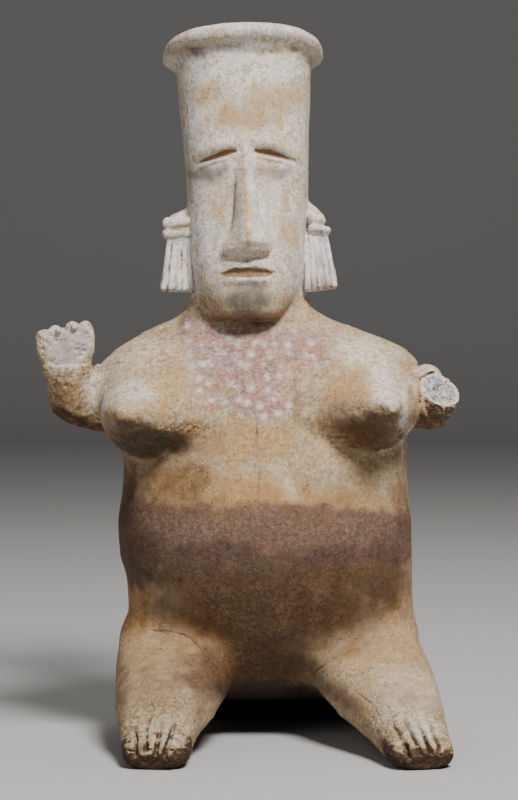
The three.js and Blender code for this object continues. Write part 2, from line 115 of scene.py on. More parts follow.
# rows of w, left, right, front, back become a dense table on a cubic that doesn't overshoot
def stacked(place, rows, squareness=2.0, slide=None, relief=None):
    rows = np.array([[r[0], r[1], r[1], r[2 if len(r) > 2 else 1], r[2 if len(r) > 2 else 1]]
                     if len(r) < 5 else r for r in rows], float)
    w, y = rows[:, 0], rows[:, 1:]
    slope = np.diff(y, axis=0) / np.diff(w)[:, None]
    tangent = np.vstack([slope[:1], np.zeros((len(w) - 2, 4)), slope[-1:]])
    before, after = slope[:-1], slope[1:]
    same = before * after > 0
    tangent[1:-1] = np.where(same, 2 * before * after / np.where(same, before + after, 1), 0)
    count = int((w[-1] - w[0]) / 0.4) + 2
    dense = np.linspace(w[0], w[-1], count)
    i = np.clip(np.searchsorted(w, dense, side="right") - 1, 0, len(w) - 2)
    span = (w[i + 1] - w[i])[:, None]
    t = ((dense - w[i])[:, None] / span)
    a, b, ta, tb = y[i], y[i + 1], tangent[i] * span, tangent[i + 1] * span
    table = a + t * (ta + t * (3 * (b - a) - 2 * ta - tb + t * (ta + tb - 2 * (b - a))))
    widest = float(np.abs(table).max()) + 6
    ends = np.array([place["origin"] + place["w"] * w[0], place["origin"] + place["w"] * w[-1]])
    return {
        **place, "first": w[0], "last": w[-1], "step": dense[1] - dense[0],
        "table": table.astype(np.float32), "slopes": np.gradient(table, dense, axis=0).astype(np.float32),
        "squareness": squareness, "slide": slide, "relief": relief,
        "low": ends.min(axis=0) - widest, "high": ends.max(axis=0) + widest,
    }


def stackGap(p, form):
    q = p - form["origin"]
    u, v, w = q @ form["u"], q @ form["v"], q @ form["w"]
    if form["slide"]:
        w = w - form["slide"](v, w - form["slide"](v, w))
    if form["relief"]:
        v = v + form["relief"](u, v, w)
    inside = np.clip(w, form["first"], form["last"])
    place = (inside - form["first"]) / form["step"]
    i = np.minimum(place.astype(np.int64), len(form["table"]) - 2)
    t = (place - i)[:, None]
    at = form["table"][i] * (1 - t) + form["table"][i + 1] * t
    grow = form["slopes"][i] * (w == inside)[:, None]
    left = u < 0
    side, sideGrow = np.where(left, at[:, 0], at[:, 1]), np.where(left, grow[:, 0], grow[:, 1])
    deep, deepGrow = (at[:, 2] + at[:, 3]) / 2, (grow[:, 2] + grow[:, 3]) / 2
    off = v - (at[:, 3] - at[:, 2]) / 2
    n = form["squareness"]
    x, y = np.maximum(np.abs(u) / side, 1e-3), np.maximum(np.abs(off) / deep, 1e-3)
    xn, yn = x ** n, y ** n
    g = (xn + yn) ** (1 / n)
    k = g ** (1 - n)
    gu, gv = k * xn / (x * side), k * yn / (y * deep)
    lop = np.sign(off) * gv * (grow[:, 3] - grow[:, 2]) / 2
    gw = -k * (xn * sideGrow / side + yn * deepGrow / deep) - lop
    radial = (g - 1) / np.sqrt(gu * gu + gv * gv + gw * gw)
    past = np.abs(w - inside)
    outside = np.hypot(np.maximum(radial, 0), past)
    within = np.maximum(radial, np.maximum(form["first"] - w, w - form["last"]))
    return np.where((past > 0) | (radial > 0), outside, within)


# a round-ended bar
def barred(start, end, thick, thickEnd=None):
    start, end = np.array(start, float), np.array(end, float)
    thickEnd = thick if thickEnd is None else thickEnd
    most = max(thick, thickEnd) + 6
    return {"start": start, "end": end, "thick": thick, "thickEnd": thickEnd,
            "low": np.minimum(start, end) - most, "high": np.maximum(start, end) + most}


def barGap(p, form):
    along = form["end"] - form["start"]
    t = np.clip((p - form["start"]) @ along / np.dot(along, along), 0, 1)
    near = form["start"] + t[:, None] * along
    return np.linalg.norm(p - near, axis=1) - (form["thick"] + t * (form["thickEnd"] - form["thick"]))


def gapOf(p, form):
    gap = stackGap(p, form) if "table" in form else barGap(p, form)
    if "clear" in form:
        gap = np.maximum(gap, -barGap(p, form["clear"]))
    return gap


def softMin(a, b, soft):
    h = np.maximum(soft - np.abs(a - b), 0) / soft
    return np.minimum(a, b) - h * h * soft / 4


# how softly a breast melts into the chest: more and more between the two heights
melt = {"least": 5, "more": 24, "from": 168, "to": 190}


def addForm(gap, p, form, soft):
    near = np.all((p > form["low"] - 6) & (p < form["high"] + 6), axis=1)
    if near.any():
        if soft == "over":  # a breast melts into the chest above and at its sides, and has a crease below
            soft = melt["least"] + melt["more"] * smoothStep(melt["from"], melt["to"], p[near][:, 2])
        gap[near] = softMin(gap[near], gapOf(p[near], form), soft)


# the forms of the figure

trunk = {
    "squareness": 2.35,
    "rows": [
        [-2, 50, 55, -27, 44], [4, 59, 63, -23, 52], [9, 65, 69, -19, 56.5], [14, 69, 74, -9, 60],
        [17.5, 71.5, 77, 6, 62], [20.5, 73.5, 79.5, 22, 63.5], [25, 76, 82, 34, 65], [33, 79, 85, 45, 67],
        [45, 82, 88, 55, 68.5], [60, 82.5, 89, 65, 67.5], [76, 81.5, 88, 72.5, 65], [90, 82, 87.5, 77, 62],
        [106, 86, 87, 79.5, 59], [124, 87, 86.5, 78.5, 57], [142, 85, 85, 74, 55.5], [160, 84, 84, 68, 54],
        [176, 88, 84.5, 62, 53], [192, 94, 88, 57, 52], [206, 97.5, 92, 51, 50], [218, 96, 91.5, 45, 47],
        [226, 89, 85, 40, 44], [233, 79, 71, 35, 40], [239, 68, 55, 30, 36], [245, 55, 38, 26, 32],
        [252, 47, 28, 24, 30], [262, 44, 23, 23, 29],
    ],
}
upright = axes((0, 0, 0), upward, toViewer)
trunkForm = stacked(upright, trunk["rows"], trunk["squareness"])

head = {
    "base": (-9.4, -8, 244),
    "tilt": math.radians(12),
    "lean": math.radians(1.3),
    "squareness": 2.4,
    "rimSlope": 0.13,
    "rimSaddle": 0.2,
    "rows": [
        [-4.5, 9, 9, 33, -24], [-3.5, 14, 14, 35.5, -19], [-1, 19, 19, 37, -8], [3, 22.8, 22.8, 37.5, 8],
        [9, 27, 27, 37.5, 20], [15, 29.8, 29.8, 37.3, 26], [20, 31.3, 31.3, 37.2, 28],
        [25, 32.4, 32.4, 37, 29.5], [33, 33.7, 33.7, 36.8, 30.5], [45, 34.8, 34.6, 36.2, 31],
        [60, 35, 36, 35.4, 31.5], [76, 35.4, 36.8, 34.8, 32], [91, 36, 37.4, 34.4, 32.3],
        [110, 37.3, 38.3, 34, 32.8], [124, 38.5, 38.9, 34, 33.2], [138, 39.8, 39.6, 34.4, 33.6],
        [150, 40.3, 40.3, 35, 34.2], [153.5, 41, 41, 36, 35], [156, 44, 44, 39, 38], [158, 47, 47, 42, 41],
        [161, 48.4, 48.4, 43.4, 42.3], [164, 47.4, 47.4, 42.4, 41.4], [166, 45, 45, 40, 39.2],
        [167, 42, 42, 37.2, 36.6],
    ],
    "mouthRows": [
        [134, 31.5, 31.5, 25, 25.5], [150, 33, 33, 27, 27.5], [160, 34.5, 34.5, 28, 28.5],
        [167, 38, 38, 33, 32.5], [190, 42, 42, 37, 36.5],
    ],
}
headAlong = (-math.sin(head["lean"]), math.sin(head["tilt"]), math.cos(head["tilt"]))
headAxes = axes(head["base"], headAlong, toViewer)


def rimRise(v, w):
    return np.where(v < 0, -v * head["rimSlope"], v * head["rimSaddle"]) * smoothStep(100, 150, w)


# The face is a plain doll-like mask of this ware, laid out by shares of its own length and half width.
face = {"length": 102, "half": 36, "brow": 0.93, "noseTip": 0.33, "mouth": 0.2}
browLine = face["length"] * face["brow"]
noseTip = face["length"] * face["noseTip"]
mouthLine = face["length"] * face["mouth"]
slit = {"from": face["half"] * 0.14, "to": face["half"] * 0.82, "drop": face["length"] * 0.045,
        "arch": 0.4, "tall": 2.5, "deep": 3.0}
lips = {"reach": face["half"] * 0.46, "tall": 2.9, "deep": 3.4}


def alongSlit(u):
    return (np.abs(u) - slit["from"]) / (slit["to"] - slit["from"])


def slitHeight(u):
    t = alongSlit(u)
    return browLine - slit["drop"] * t + slit["arch"] * np.sin(np.pi * np.clip(t, 0, 1))


def faceRelief(u, v, w):
    acrossEye = hump(np.abs(u) - 17, 15)
    line = slitHeight(u)
    brow = 3.0 * hump(w - line - 5.6, 3.5) * acrossEye
    pad = 1.6 * hump(w - line + 8, 4.4) * acrossEye
    cheek = -1.3 * hump(w - noseTip - 30, 24) * hump(np.abs(u) - 18, 10)
    mouth = 2.4 * hump(w - mouthLine, 7) * hump(u, 17)
    chin = 1.4 * hump(w - 5, 8) * hump(u, 14)
    return (brow + pad + cheek + mouth + chin) * (v < -8)


headForm = stacked(headAxes, head["rows"], head["squareness"], rimRise, faceRelief)
mouthForm = stacked(headAxes, head["mouthRows"], head["squareness"], rimRise)

nose = {
    "root": -30,
    "squareness": 1.22,
    "rows": [
        [-4, 6, 40], [-2.6, 12.2, 45], [0.5, 14.6, 48], [4.5, 13.4, 49], [9, 10.4, 48.6], [20, 7.8, 46.4],
        [36, 6.4, 42.7], [52, 5, 38.9], [62, 3.6, 36.4], [68, 2, 34.4],
    ],
}
noseRows = [[noseTip + up, half, half, out, nose["root"]] for up, half, out in nose["rows"]]
noseForm = stacked(headAxes, noseRows, nose["squareness"])

ears = [
    {
        "ear": [(-43, 3, 308), (-54, -4, 302.5)],
        "rolls": [[(-57.3, -8, 301.4), (-46, -8, 302.2)], [(-57.3, -8.5, 295.4), (-46, -8.5, 295.6)]],
        "top": (-50.6, -6, 295), "foot": (-52, -11, 260.5),
    },
    {
        "ear": [(25, 3, 310), (31, -4, 304)],
        "rolls": [[(28.5, -8, 304), (33, -8, 303)], [(29, -8.5, 298.2), (35.8, -8.5, 296.6)]],
        "top": (29.6, -6, 296), "foot": (33.2, -11, 261.5),
    },
]
pendant = {"top": 6.8, "foot": 9.9, "thick": 3.2, "squareness": 3.4, "strands": 5}


def pendantForm(one):
    place, reach = spanOf(one["top"], one["foot"], toViewer)
    rows = [[0, pendant["top"] - 0.8, 2.6], [3, pendant["top"], 3.1],
            [reach * 0.5, (pendant["top"] + pendant["foot"]) / 2, pendant["thick"]],
            [reach - 3.5, pendant["foot"], pendant["thick"]], [reach - 0.5, pendant["foot"] - 0.8, 2.4]]
    return stacked(place, rows, pendant["squareness"])


def pendantWide(t):
    return pendant["top"] + (pendant["foot"] - pendant["top"]) * t


breasts = [
    {"root": (-65, -36, 190), "tip": (-81.5, -90, 190.5), "size": 1},
    {"root": (57, -36, 192), "tip": (72, -90, 195.5), "size": 0.96},
]
breastRows = [
    [0, 28, 27, 27], [0.25, 26.5, 21.5, 25], [0.5, 22, 15.5, 19.5], [0.7, 15.8, 11, 13], [0.82, 11, 8, 8.2],
    [0.9, 7.4, 5.8, 5.6], [0.955, 5.2, 4.6, 4.4], [1, 3, 3.2, 3],
]


def breastForm(one):
    place, reach = spanOf(one["root"], one["tip"], upward)
    rows = [[t * reach, *(half * one["size"] for half in (side, side, over, under))]
            for t, side, over, under in breastRows]
    return stacked(place, rows)


legs = [
    {"hip": (-48, -22, 50), "toe": (-61.5, -152, 6), "outer": -1},
    {"hip": (52, -22, 50), "toe": (88, -152, 6), "outer": 1},
]
legRows = [
    [0, 38, 34, 28, 26], [0.15, 36.5, 33.5, 25, 23], [0.29, 34.5, 32, 22.5, 20.5],
    [0.45, 31.5, 28, 19.5, 19.5], [0.58, 28.5, 23.5, 16.5, 18.5], [0.68, 25.3, 20.5, 14, 17],
    [0.79, 21.8, 18.8, 11, 15.5], [0.9, 18.8, 18.5, 8.5, 12.2], [0.965, 16.5, 16.5, 6, 9],
    [1, 11, 11, 3, 5.5],
]
toes = {"grooves": 4, "spread": 6.9, "shift": 1.5, "wide": 1.15, "deep": 2.9, "more": 0.3}


def legForm(one, clay=0, upTo=1.0):
    place, reach = spanOf(one["hip"], one["toe"], upward)
    rows = []
    for t, out, within, over, under in legRows:
        low, high = (within, out) if place["u"][0] * one["outer"] > 0 else (out, within)
        if t <= upTo:
            rows.append([t * reach, low - clay, high - clay, over - clay, under - clay])
    return stacked(place, rows, 2.3)


raised = {
    "shoulder": (-78, -6, 197), "elbow": (-111.5, -15, 197.5),
    "forearmFoot": (-111.8, -14, 193.5), "wrist": (-116.5, -24, 218),
    "heel": (-115.8, -25, 213), "tips": (-117.6, -30, 239.5),
    "upperRows": [[0, 17, 17, 19.5, 20], [14, 16.5, 16.5, 19.5, 20], [22, 15.5, 15.5, 18.5, 19.3],
                  [30, 14.5, 14.5, 14, 17], [38, 13, 13, 12, 13], [44, 10, 10, 9, 9],
                  [48.5, 5, 5, 4.5, 4.5]],
    "forearmRows": [[-8, 6.5], [-4.5, 10.2], [1, 12.8], [10, 13.6, 13], [19, 13.4, 11.8],
                    [25.5, 13, 9.5], [28, 11, 6]],
    "palmRows": [[0, 12, 4.5], [3, 13.3, 6], [9, 15.3, 6.2], [17, 17.3, 6], [22, 17.6, 5.4],
                 [25.5, 16.5, 4.4], [27, 14, 3]],
    "fingerAt": [-12.6, -5.4, 4.6, 12.2], "fingerTall": [-8, -1, 0.8, 0.4], "fingerThick": 4.2,
    "nubs": [[(-120.6, -31, 238), (-120.8, -35.6, 237.8)], [(-111.4, -31, 240.4), (-111.3, -35.4, 240.2)]],
}
handAxes, handReach = spanOf(raised["heel"], raised["tips"], toViewer)


def onAxes(place, u, v, w):
    return place["origin"] + place["u"] * u + place["v"] * v + place["w"] * w


snapped = {
    "shoulder": (72, -4, 198), "elbow": (97, -27, 195),
    "foot": (95.7, -25.3, 191.3), "break": (102, -37, 203.4),
    "ledge": [(82, -8, 201), (95, -22, 208.5)], "ledgeThick": 10,
    "clearEnd": (107, -46, 213), "clearThick": 13.6,
    "rows": [[0, 16, 16, 17, 19], [12, 15, 15, 15, 15], [24, 13.5, 13.5, 13.5, 12.5], [33, 12, 12, 12, 12],
             [39, 9, 9, 9, 9], [42, 5, 5, 5, 5]],
}
breakAxes, stubReach = spanOf(snapped["foot"], snapped["break"], upward)
stubRows = [[-9, 6], [-6, 9.2], [0, 12.2], [8, 13], [stubReach, 12.3]]

ledgeForm = barred(*snapped["ledge"], snapped["ledgeThick"])
ledgeForm["clear"] = barred(snapped["foot"], snapped["clearEnd"], snapped["clearThick"])

# every joined form, with how softly the clay is smoothed over its join
trunkParts = [(legForm(one), 11) for one in legs] + [(breastForm(one), "over") for one in breasts]
trunkParts += [
    (stacked(axesBetween(raised["shoulder"], raised["elbow"], upward), raised["upperRows"]), 9),
    (stacked(axesBetween(raised["forearmFoot"], raised["wrist"], toViewer), raised["forearmRows"]), 6),
    (stacked(handAxes, raised["palmRows"], 2.7), 4),
    (stacked(axesBetween(snapped["shoulder"], snapped["elbow"], upward), snapped["rows"]), 9),
    (stacked(breakAxes, stubRows), 5),
    (ledgeForm, 3),
]
for u, tall in zip(raised["fingerAt"], raised["fingerTall"]):
    trunkParts.append((barred(onAxes(handAxes, u, 0, 12), onAxes(handAxes, u, 0, handReach - 1 + tall),
                              raised["fingerThick"] + 0.3, raised["fingerThick"]), 1.6))
for nub in raised["nubs"]:
    trunkParts.append((barred(*nub, 2.3, 1.8), 1.0))
headParts = [(noseForm, 1.8)]
for one in ears:
    headParts += [(barred(*one["ear"], 4.2), 3)] + [(barred(*ends, 3.5, 3.1), 0.8) for ends in one["rolls"]]
    headParts += [(pendantForm(one), 1.6)]


joins = {"far": 60, "firm": 1, "neck": 4, "mouthAbove": 350}


def figureGap(p):
    p = p.astype(np.float32)
    body = np.full(len(p), joins["far"], np.float32)
    addForm(body, p, trunkForm, joins["firm"])
    for form, soft in trunkParts:
        addForm(body, p, form, soft)
    top = np.full(len(p), joins["far"], np.float32)
    addForm(top, p, headForm, joins["firm"])
    for form, soft in headParts:
        addForm(top, p, form, soft)
    gap = softMin(body, top, joins["neck"])
    gap = np.maximum(gap, -p[:, 2])
    high = p[:, 2] > joins["mouthAbove"]
    if high.any():
        gap[high] = np.maximum(gap[high], -stackGap(p[high], mouthForm))
    return gap


# from a gap to a mesh

# the gap on a grid, worked out closely only near the surface
def gridOf(gapAt, low, high, step, margin):
    low, high = np.array(low, float), np.array(high, float)
    counts = np.ceil((high - low) / step).astype(int) + 1
    wide = 5
    coarse = [low[a] + step * wide * np.arange(-(-counts[a] // wide) + 1) for a in range(3)]
    shape = tuple(len(c) for c in coarse)
    points = np.stack(np.meshgrid(*coarse, indexing="ij"), -1).reshape(-1, 3)
    rough = gapAt(points).reshape(shape)
    pick = [np.minimum(np.rint(np.arange(counts[a]) / wide).astype(int), shape[a] - 1) for a in range(3)]
    grid = rough[np.ix_(*pick)].astype(np.float32)
    near = np.abs(grid) < margin
    where = np.argwhere(near)
    grid[near] = gapAt(low + where * step)
    return grid, low


# one point in each cell that the surface crosses, and a quad across each crossed edge
def skinOf(grid, low, step):
    inside = grid < 0
    parts = [slice(0, -1), slice(1, None)]
    corners = [(a, b, c) for a in (0, 1) for b in (0, 1) for c in (0, 1)]
    total = sum(inside[parts[a], parts[b], parts[c]].astype(np.int8) for a, b, c in corners)
    cells = np.argwhere((total > 0) & (total < 8))
    number = np.full(total.shape, -1, np.int32)
    number[tuple(cells.T)] = np.arange(len(cells))
    values = {k: grid[cells[:, 0] + k[0], cells[:, 1] + k[1], cells[:, 2] + k[2]] for k in corners}
    place, count = np.zeros((len(cells), 3)), np.zeros(len(cells))
    for k in corners:
        for axis in range(3):
            if k[axis]:
                continue
            other = tuple(1 if a == axis else k[a] for a in range(3))
            cross = (values[k] < 0) != (values[other] < 0)
            t = values[k] / np.where(cross, values[k] - values[other], 1)
            spot = np.tile(np.array(k, float), (len(cells), 1))
            spot[:, axis] = t
            place += spot * cross[:, None]
            count += cross
    points = low + step * (cells + place / count[:, None])
    quads = []
    for axis in range(3):
        one, two = [a for a in range(3) if a != axis]
        before, after = [slice(None)] * 3, [slice(None)] * 3
        before[axis], after[axis] = parts
        a, b = inside[tuple(before)], inside[tuple(after)]
        at = np.argwhere(a != b)
        for across in (one, two):
            at = at[(at[:, across] > 0) & (at[:, across] < grid.shape[across] - 1)]
        facing = a[tuple(at.T)]
        around = []
        for so, st in ((-1, -1), (0, -1), (0, 0), (-1, 0)):
            cell = at.copy()
            cell[:, one] += so
            cell[:, two] += st
            around.append(number[tuple(cell.T)])
        quad = np.stack(around, 1)
        flip = facing if axis != 1 else ~facing
        quads.append(np.where(flip[:, None], quad, quad[:, ::-1]))
    return points, np.vstack(quads)


def trianglesOf(points, quads):
    a, b, c, d = [points[quads[:, i]] for i in range(4)]
    short = (np.linalg.norm(a - c, axis=1) <= np.linalg.norm(b - d, axis=1))[:, None]
    first = np.where(short, quads[:, [0, 1, 2]], quads[:, [0, 1, 3]])
    second = np.where(short, quads[:, [0, 2, 3]], quads[:, [1, 2, 3]])
    return np.vstack([first, second])


# slides every point onto the surface
def settle(points, gapAt, rounds=2, reach=0.25):
    for _ in range(rounds):
        gap = gapAt(points)
        slope = np.stack([gapAt(points + reach * np.eye(3)[a]) - gap for a in range(3)], 1) / reach
        size = np.maximum((slope ** 2).sum(axis=1), 0.25)
        points = points - np.clip(gap / size, -1.2, 1.2)[:, None] * slope
    return points


def normalsOf(points, faces):
    a, b, c = [points[faces[:, i]] for i in range(3)]
    n = np.cross(b - a, c - a)
    total = np.zeros_like(points)
    for i in range(3):
        for axis in range(3):
            total[:, axis] += np.bincount(faces[:, i], n[:, axis], len(points))
    return total / np.maximum(np.linalg.norm(total, axis=1), 1e-9)[:, None]


# splits the chosen triangles in four, and their neighbours where an edge was split
def refined(points, faces, chosen):
    sides = np.stack([faces, np.roll(faces, -1, axis=1)], 2).reshape(-1, 2)
    sides = np.sort(sides, axis=1)
    key = sides[:, 0].astype(np.int64) * len(points) + sides[:, 1]
    unique, inverse = np.unique(key, return_inverse=True)
    edgeOf = inverse.reshape(-1, 3)
    split = np.zeros(len(unique), bool)
    split[edgeOf[chosen].ravel()] = True
    ids = np.full(len(unique), -1, np.int64)
    ids[split] = len(points) + np.arange(split.sum())
    ends = np.stack([unique // len(points), unique % len(points)], 1)[split]
    points = np.vstack([points, points[ends].mean(axis=1)])
    mids = ids[edgeOf]
    marked = mids >= 0
    count = marked.sum(axis=1)
    out = [faces[count == 0]]
    full = count == 3
    (a, b, c), (x, y, z) = faces[full].T, mids[full].T
    out += [np.stack(t, 1) for t in ((a, x, z), (x, b, y), (z, y, c), (x, y, z))]
    for turn in range(3):
        order = [turn, (turn + 1) % 3, (turn + 2) % 3]
        one = (count == 1) & marked[:, turn]
        (a, b, c), x = faces[one][:, order].T, mids[one][:, turn]
        out += [np.stack((a, x, c), 1), np.stack((x, b, c), 1)]
        two = (count == 2) & ~marked[:, order[2]]
        (a, b, c), (x, y, _) = faces[two][:, order].T, mids[two][:, order].T
        out += [np.stack((x, b, y), 1), np.stack((a, x, y), 1), np.stack((a, y, c), 1)]
    return points, np.vstack(out)


def placed(name, data):
    piece = bpy.data.objects.new(name, data)
    bpy.context.scene.collection.objects.link(piece)
    return piece


def meshFrom(name, points, faces):
    mesh = bpy.data.meshes.new(name)
    mesh.vertices.add(len(points))
    mesh.vertices.foreach_set("co", ((points + seatShift) / 1000).astype(np.float32).ravel())
    mesh.loops.add(len(faces) * 3)
    mesh.loops.foreach_set("vertex_index", faces.astype(np.int32).ravel())
    mesh.polygons.add(len(faces))
    mesh.polygons.foreach_set("loop_start", (np.arange(len(faces)) * 3).astype(np.int32))
    mesh.update(calc_edges=True)
    mesh.validate()
    return placed(name, mesh)


def pointsOf(piece):
    flat = np.empty(len(piece.data.vertices) * 3, np.float32)
    piece.data.vertices.foreach_get("co", flat)
    return flat.reshape(-1, 3) * 1000 - seatShift


def trianglesIn(piece):
    piece.data.calc_loop_triangles()
    flat = np.empty(len(piece.data.loop_triangles) * 3, np.int32)
    piece.data.loop_triangles.foreach_get("vertices", flat)
    return flat.reshape(-1, 3)


def applied(piece):
    graph = bpy.context.evaluated_depsgraph_get()
    shaped = piece.evaluated_get(graph)
    made = bpy.data.meshes.new_from_object(shaped, preserve_all_data_layers=True, depsgraph=graph)
    piece.modifiers.clear()
    piece.data = made
    return piece


# the skin of the figure

skin = {
    "step": 1.55,
    "low": (-140, -166, -4),
    "high": (124, 88, 426),
    "margin": 13,
    "wall": 7.5,
    "triangles": 186000,
    "seed": 11,
}

grid, corner = gridOf(figureGap, skin["low"], skin["high"], skin["step"], skin["margin"])
points, quads = skinOf(grid, corner, skin["step"])
faces = trianglesOf(points, quads)
points = settle(points, figureGap)
print("clay skin:", len(points), "points")


def headCoords(p):
    q = p - headAxes["origin"]
    return q @ headAxes["u"], q @ headAxes["v"], q @ headAxes["w"]


def pathGap(p, path):
    best, along = np.full(len(p), 99.0), np.zeros(len(p))
    for i in range(len(path) - 1):
        a, b = np.array(path[i], float), np.array(path[i + 1], float)
        t = np.clip((p - a) @ (b - a) / np.dot(b - a, b - a), 0, 1)
        d = np.linalg.norm(p - a - t[:, None] * (b - a), axis=1)
        along = np.where(d < best, (i + t) / (len(path) - 1), along)
        best = np.minimum(best, d)
    return best, along


# cracks and scratches follow lines drawn in the 518 x 800 frame
cracks = [
    {"line": [(138, 634), (150, 631), (166, 631), (184, 636), (196, 645), (206, 654), (214, 662),
              (222, 671)],
     "deep": 0.8, "wide": 0.42, "stain": 0.65},
    {"line": [(222, 671), (229, 684), (226, 694)], "deep": 0.7, "wide": 0.5, "stain": 0.9},
    {"line": [(311, 677), (318, 671), (326, 664), (338, 656)], "deep": 0.9, "wide": 0.5, "stain": 0.9},
    {"line": [(352, 690), (366, 700), (376, 712), (384, 726)], "deep": 0.6, "wide": 0.5, "stain": 0.6},
    {"line": [(168, 476), (200, 466), (240, 461), (275, 463), (300, 470)],
     "deep": 0.3, "wide": 0.5, "stain": 0.3},
    {"line": [(289, 478), (292, 462), (299, 460), (298, 476), (301, 494)],
     "deep": 0.3, "wide": 0.5, "stain": 0.3},
    {"line": [(358, 587), (357, 595), (358, 603)], "deep": 0.6, "wide": 0.45, "stain": 0.9},
    {"line": [(258, 412), (256.5, 440), (259, 470), (258, 500), (259, 520)],
     "deep": 0.3, "wide": 0.9, "stain": 0.6},
    {"line": [(325, 437), (342, 452), (352, 457)], "deep": 0.6, "wide": 0.7, "stain": 0.5},
    {"line": [(420, 382), (420.8, 379), (423, 376.2), (426.5, 374), (431, 373), (436, 373.4)],
     "deep": 1.8, "wide": 0.55, "stain": 1.6},
    {"line": [(112, 670), (150, 676), (190, 672)], "deep": 0.25, "wide": 0.5, "stain": 0.3},
    {"line": [(128, 652), (150, 648), (178, 653)], "deep": 0.25, "wide": 0.5, "stain": 0.35},
    {"line": [(136, 686), (160, 691), (186, 684)], "deep": 0.3, "wide": 0.45, "stain": 0.4},
    {"line": [(148, 698), (153, 710), (150, 722)], "deep": 0.35, "wide": 0.45, "stain": 0.45},
    {"line": [(384, 702), (392, 714), (395, 728), (402, 736)], "deep": 0.5, "wide": 0.5, "stain": 0.6},
    {"line": [(356, 666), (374, 676), (396, 672)], "deep": 0.25, "wide": 0.5, "stain": 0.3},
    {"line": [(322, 404), (345, 412), (364, 408), (384, 411)], "deep": 0.4, "wide": 0.6, "stain": 0.35},
    {"line": [(150, 398), (172, 410), (188, 428)], "deep": 0.3, "wide": 0.6, "stain": 0.3},
]


# each crack with the points it passes, and where those are seen
def cracksNear(p, facing, margin):
    flat = np.stack(seenAt(p), 1)
    for one in cracks:
        line = np.array(one["line"], float)
        low, high = line.min(axis=0) - margin, line.max(axis=0) + margin
        near = np.nonzero(np.all((flat > low) & (flat < high), axis=1) & facing)[0]
        if len(near):
            yield one, line, near, flat[near]


def nearCrack(p, reach):
    found = np.zeros(len(p), bool)
    for _, line, near, flat in cracksNear(p, p[:, 1] < 0, reach):
        found[near] |= pathGap(flat, line)[0] < reach
    return found


# closer where something fine is worked into the clay
def wantsFiner(p, level):
    u, v, w = headCoords(p)
    onFace = (v < -14) & (w > -6) & (w < 112) & (np.abs(u) < 36)
    line = np.abs(w - slitHeight(u)) < 6
    eyes = onFace & line & (np.abs(u) > 3) & (np.abs(u) < 33)
    lip = onFace & (np.abs(w - mouthLine) < 7) & (np.abs(u) < 21)
    tip = onFace & (np.abs(w - noseTip) < 8) & (np.abs(u) < 16)
    breakSpot = np.linalg.norm(p - np.array(snapped["break"]), axis=1) < 20
    split = nearCrack(p, 7 if level == 0 else 3.5)
    hand = (p[:, 0] < -92) & (p[:, 2] > 196)
    feet = (p[:, 1] < -112) & (p[:, 2] < 46)
    if level == 0:
        rim = (w > 146) & (w < 174)
        hung = ((p[:, 0] < -38) | (p[:, 0] > 20)) & (p[:, 2] > 256) & (p[:, 2] < 316) & (p[:, 1] < 8)
        return onFace | breakSpot | hand | feet | rim | hung | split
    return split | eyes | lip | tip | breakSpot | (hand & (p[:, 2] > 222)) | (feet & (p[:, 1] < -118))


for level in range(2):
    middle = points[faces].mean(axis=1)
    points, faces = refined(points, faces, np.nonzero(wantsFiner(middle, level))[0])
    points = settle(points, figureGap, 1)
print("finer skin:", len(points), "points", len(faces), "triangles")


# what the hands left in the clay

carving = {"uneven": 0.55, "burnish": 0.10, "crust": 0.26}


def carveFace(p, n):
    u, v, w = headCoords(p)
    front = (v < -12) & (n @ headAxes["v"] < 0.1)
    t = alongSlit(u)
    swell = np.sin(np.pi * np.clip(np.maximum(t, 0) ** 0.85 * 0.94 + 0.04, 0, 1))
    taper = np.clip(swell, 0, 1) ** 0.27 * ((t >= 0) & (t < 1.03))
    wander = 0.4 * lumps(p, 5, 3)
    q = (w - slitHeight(u) - wander) / np.maximum(slit["tall"] * taper, 0.05)
    eyes = slit["deep"] * taper * np.sqrt(np.clip(1 - q * q, 0, 1))
    lid = 1.6 * hump(w - slitHeight(u) + 4.0, 1.3) * hump(np.abs(u) - 17, 13)
    s = np.abs(u) / lips["reach"]
    part = np.sqrt(np.clip(1 - s * s, 0, 1))
    q = (w - mouthLine - 0.5 * lumps(p, 6, 4) * part) / np.maximum(lips["tall"] * part, 0.05)
    mouth = lips["deep"] * part * np.sqrt(np.clip(1 - q * q, 0, 1))
    lower = 1.7 * hump(w - mouthLine + 5.0, 1.9) * hump(u, lips["reach"] * 0.9)
    upper = 1.2 * hump(w - mouthLine - 5.0, 1.9) * hump(np.abs(u) - 6, 7)
    groove = 0.9 * hump(u, 2.2) * hump(w - mouthLine - 6.5, 3)
    under = 0.8 * hump(w - mouthLine + 9, 2.6) * hump(u, 13)
    depth = (np.maximum(eyes, mouth) + groove + under - lid - lower - upper) * front
    return headAxes["v"] * depth[:, None]


def crackDepth(p, n):
    total, stain = np.zeros(len(p)), np.zeros(len(p))
    for one, line, near, flat in cracksNear(p, n[:, 1] < -0.05, 8):
        wander = 1.2 * np.stack([lumps(p[near], 7, seed) for seed in (21, 22)], 1)
        gap, along = pathGap(flat + wander, line)
        ends = np.clip(np.minimum(along, 1 - along) * 6, 0.1, 1) * (0.75 + 0.4 * lumps(p[near], 4, 23))
        gap = gap / view["scale"]
        total[near] = np.maximum(total[near], one["deep"] * ends * hump(gap, one["wide"]))
        stain[near] = np.maximum(stain[near], one["stain"] * ends * hump(gap, one["wide"] * 1.5))
    return total, stain


